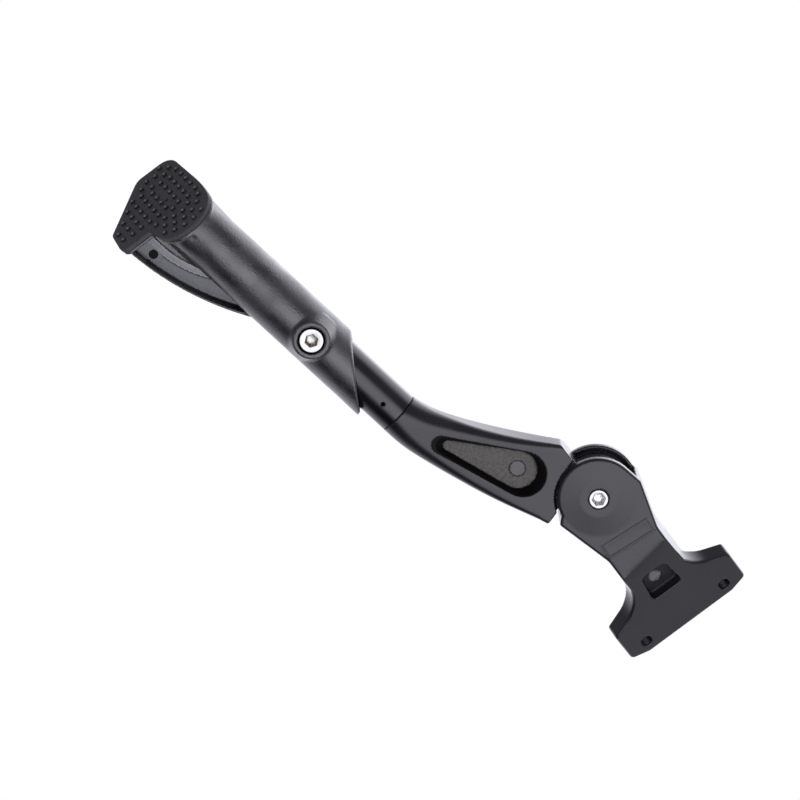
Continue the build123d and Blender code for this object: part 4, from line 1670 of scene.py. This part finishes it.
@dataclass
class Studio:
    """Light tent with bright and dark panels, soft boxes, and a pale floor under the stand.

    The panels are, in order, the key on the flat faces, a fill on the plate, a dark card, a fill from below
    and behind, a patch straight behind the part, and the rim light. The floor's size is in metres.
    """

    view: PhotoView
    middle: tuple[float, float, float] = (30.0, 60.0, -115.0)
    floor_drop: float = 290.0
    floor_size: float = 16.0
    floor_colour: str = "#f2f2f2"
    floor_glow: float = 0.45
    lamp_colour: str = "#f8f6ff"
    tent_level: float = 0.4
    tent_colour: str = "#f6f6ff"
    room_level: float = 0.45
    room_colour: str = "#f4f4f6"
    boxes: list[Softbox] = field(default_factory=lambda: [
        Softbox("key_box", -80.0, -400.0, -910.0, 0.8, 5.0),
        Softbox("rim_box", 820.0, 440.0, 450.0, 0.7, 12.0),
    ])
    panels: list[TentPanel] = field(default_factory=lambda: [
        TentPanel(0.17, -0.31, -0.93, 40.0, 2.8),
        TentPanel(0.55, -0.83, -0.12, 45.0, 0.62),
        TentPanel(-0.50, -0.83, -0.22, 38.0, -0.36, 15.0),
        TentPanel(-0.40, -0.60, 0.70, 55.0, 1.1, 10.0),
        TentPanel(0.22, 0.08, 0.97, 48.0, 1.0, 10.0),
        TentPanel(0.75, 0.42, 0.50, 52.0, 2.8, 15.0),
    ])

    def build(self) -> None:
        """Make the world, the lamps and the floor."""
        self._world()
        for box in self.boxes:
            self._lamp(box)
        self._floor()

    def _lamp(self, box: Softbox) -> None:
        """Make one soft box that looks at the middle of the part.

        Args:
            box: sizes of the soft box.
        """
        data = bpy.data.lights.new(box.name, "AREA")
        data.shape = "SQUARE"
        data.size = box.size
        data.energy = box.watts
        data.color = linear(self.lamp_colour)[:3]
        lamp = bpy.data.objects.new(box.name, data)
        bpy.context.scene.collection.objects.link(lamp)
        target = Vector(self.middle) * MM
        lamp.location = target + self.view.at(box.right, box.up, box.forward)
        lamp.visible_camera = False
        lamp.visible_glossy = False
        lamp.rotation_mode = "QUATERNION"
        lamp.rotation_quaternion = (target - lamp.location).to_track_quat("-Z", "Y")

    def _world(self) -> None:
        """Surroundings: white to the eye, the tent to reflections, soft grey light to matt faces."""
        world = bpy.data.worlds.new("light_tent")
        bpy.context.scene.world = world
        tree = fresh_tree(world)
        world.cycles.sampling_method = "NONE"
        way = add_node(tree, "ShaderNodeTexCoord").outputs["Generated"]
        level: float | bpy.types.NodeSocket = self.tent_level
        for panel in self.panels:
            middle = self.view.at(panel.right, panel.up, panel.forward).normalized()
            near = add_node(tree, "ShaderNodeVectorMath", {0: way, 1: tuple(middle)}, operation="DOT_PRODUCT")
            glow = add_node(
                tree, "ShaderNodeMapRange",
                {
                    "Value": near.outputs["Value"],
                    "From Min": cos(radians(panel.half_angle)), "From Max": cos(radians(panel.core_angle)),
                    "To Min": 0.0, "To Max": panel.strength,
                },
                interpolation_type="SMOOTHSTEP",
            )
            both = add_node(tree, "ShaderNodeMath", {0: glow.outputs[0], 1: level}, operation="ADD")
            level = both.outputs[0]
        path = add_node(tree, "ShaderNodeLightPath").outputs
        shiny = add_node(
            tree, "ShaderNodeMath", {0: path["Is Glossy Ray"], 1: path["Is Transmission Ray"]},
            operation="MAXIMUM",
        )
        soft, tent, white = (
            add_node(tree, "ShaderNodeBackground", {"Color": colour, "Strength": strength}).outputs[0]
            for colour, strength in (
                (linear(self.room_colour), self.room_level),
                (linear(self.tent_colour), level),
                ((1, 1, 1, 1), 1.0),
            )
        )
        lit = add_node(tree, "ShaderNodeMixShader", {0: shiny.outputs[0], 1: soft, 2: tent})
        seen = add_node(tree, "ShaderNodeMixShader", {0: path["Is Camera Ray"], 1: lit.outputs[0], 2: white})
        add_node(tree, "ShaderNodeOutputWorld", {"Surface": seen.outputs[0]})

    def _floor(self) -> None:
        """Pale floor that keeps the shadow, clear when seen from underneath as the photograph is."""
        floor = start(
            "studio_floor", bpy.ops.mesh.primitive_plane_add, size=self.floor_size,
            location=(0, 0, -self.floor_drop * MM),
        )
        floor.visible_shadow = False
        floor.visible_glossy = False
        floor.visible_diffuse = False
        floor.visible_transmission = False
        made = bpy.data.materials.new("pale_paper_floor")
        tree = fresh_tree(made)
        paper = add_node(tree, "ShaderNodeBsdfDiffuse", {"Color": linear(self.floor_colour)})
        glow = add_node(tree, "ShaderNodeEmission", {"Color": (1, 1, 1, 1), "Strength": self.floor_glow})
        lit = add_node(tree, "ShaderNodeAddShader", {0: paper.outputs[0], 1: glow.outputs[0]})
        clear = add_node(tree, "ShaderNodeBsdfTransparent")
        side = add_node(tree, "ShaderNodeNewGeometry").outputs["Backfacing"]
        sheet = add_node(tree, "ShaderNodeMixShader", {0: side, 1: lit.outputs[0], 2: clear.outputs[0]})
        add_node(tree, "ShaderNodeOutputMaterial", {"Surface": sheet.outputs[0]})
        floor.data.materials.append(made)


def main() -> None:
    """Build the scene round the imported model."""
    logging.basicConfig(level=logging.INFO, format="%(message)s")
    bpy.context.scene.view_settings.view_transform = "Standard"
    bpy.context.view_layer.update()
    view = PhotoView()
    view.build()
    Studio(view).build()
    for assembly in (CastBracket(), LegCasting(), Foot(), PlainNodes()):
        for piece in assembly.build():
            log.info("%s: %s, %d faces", type(assembly).__name__, piece.name, len(piece.data.polygons))


if __name__ == "__main__":
    main()
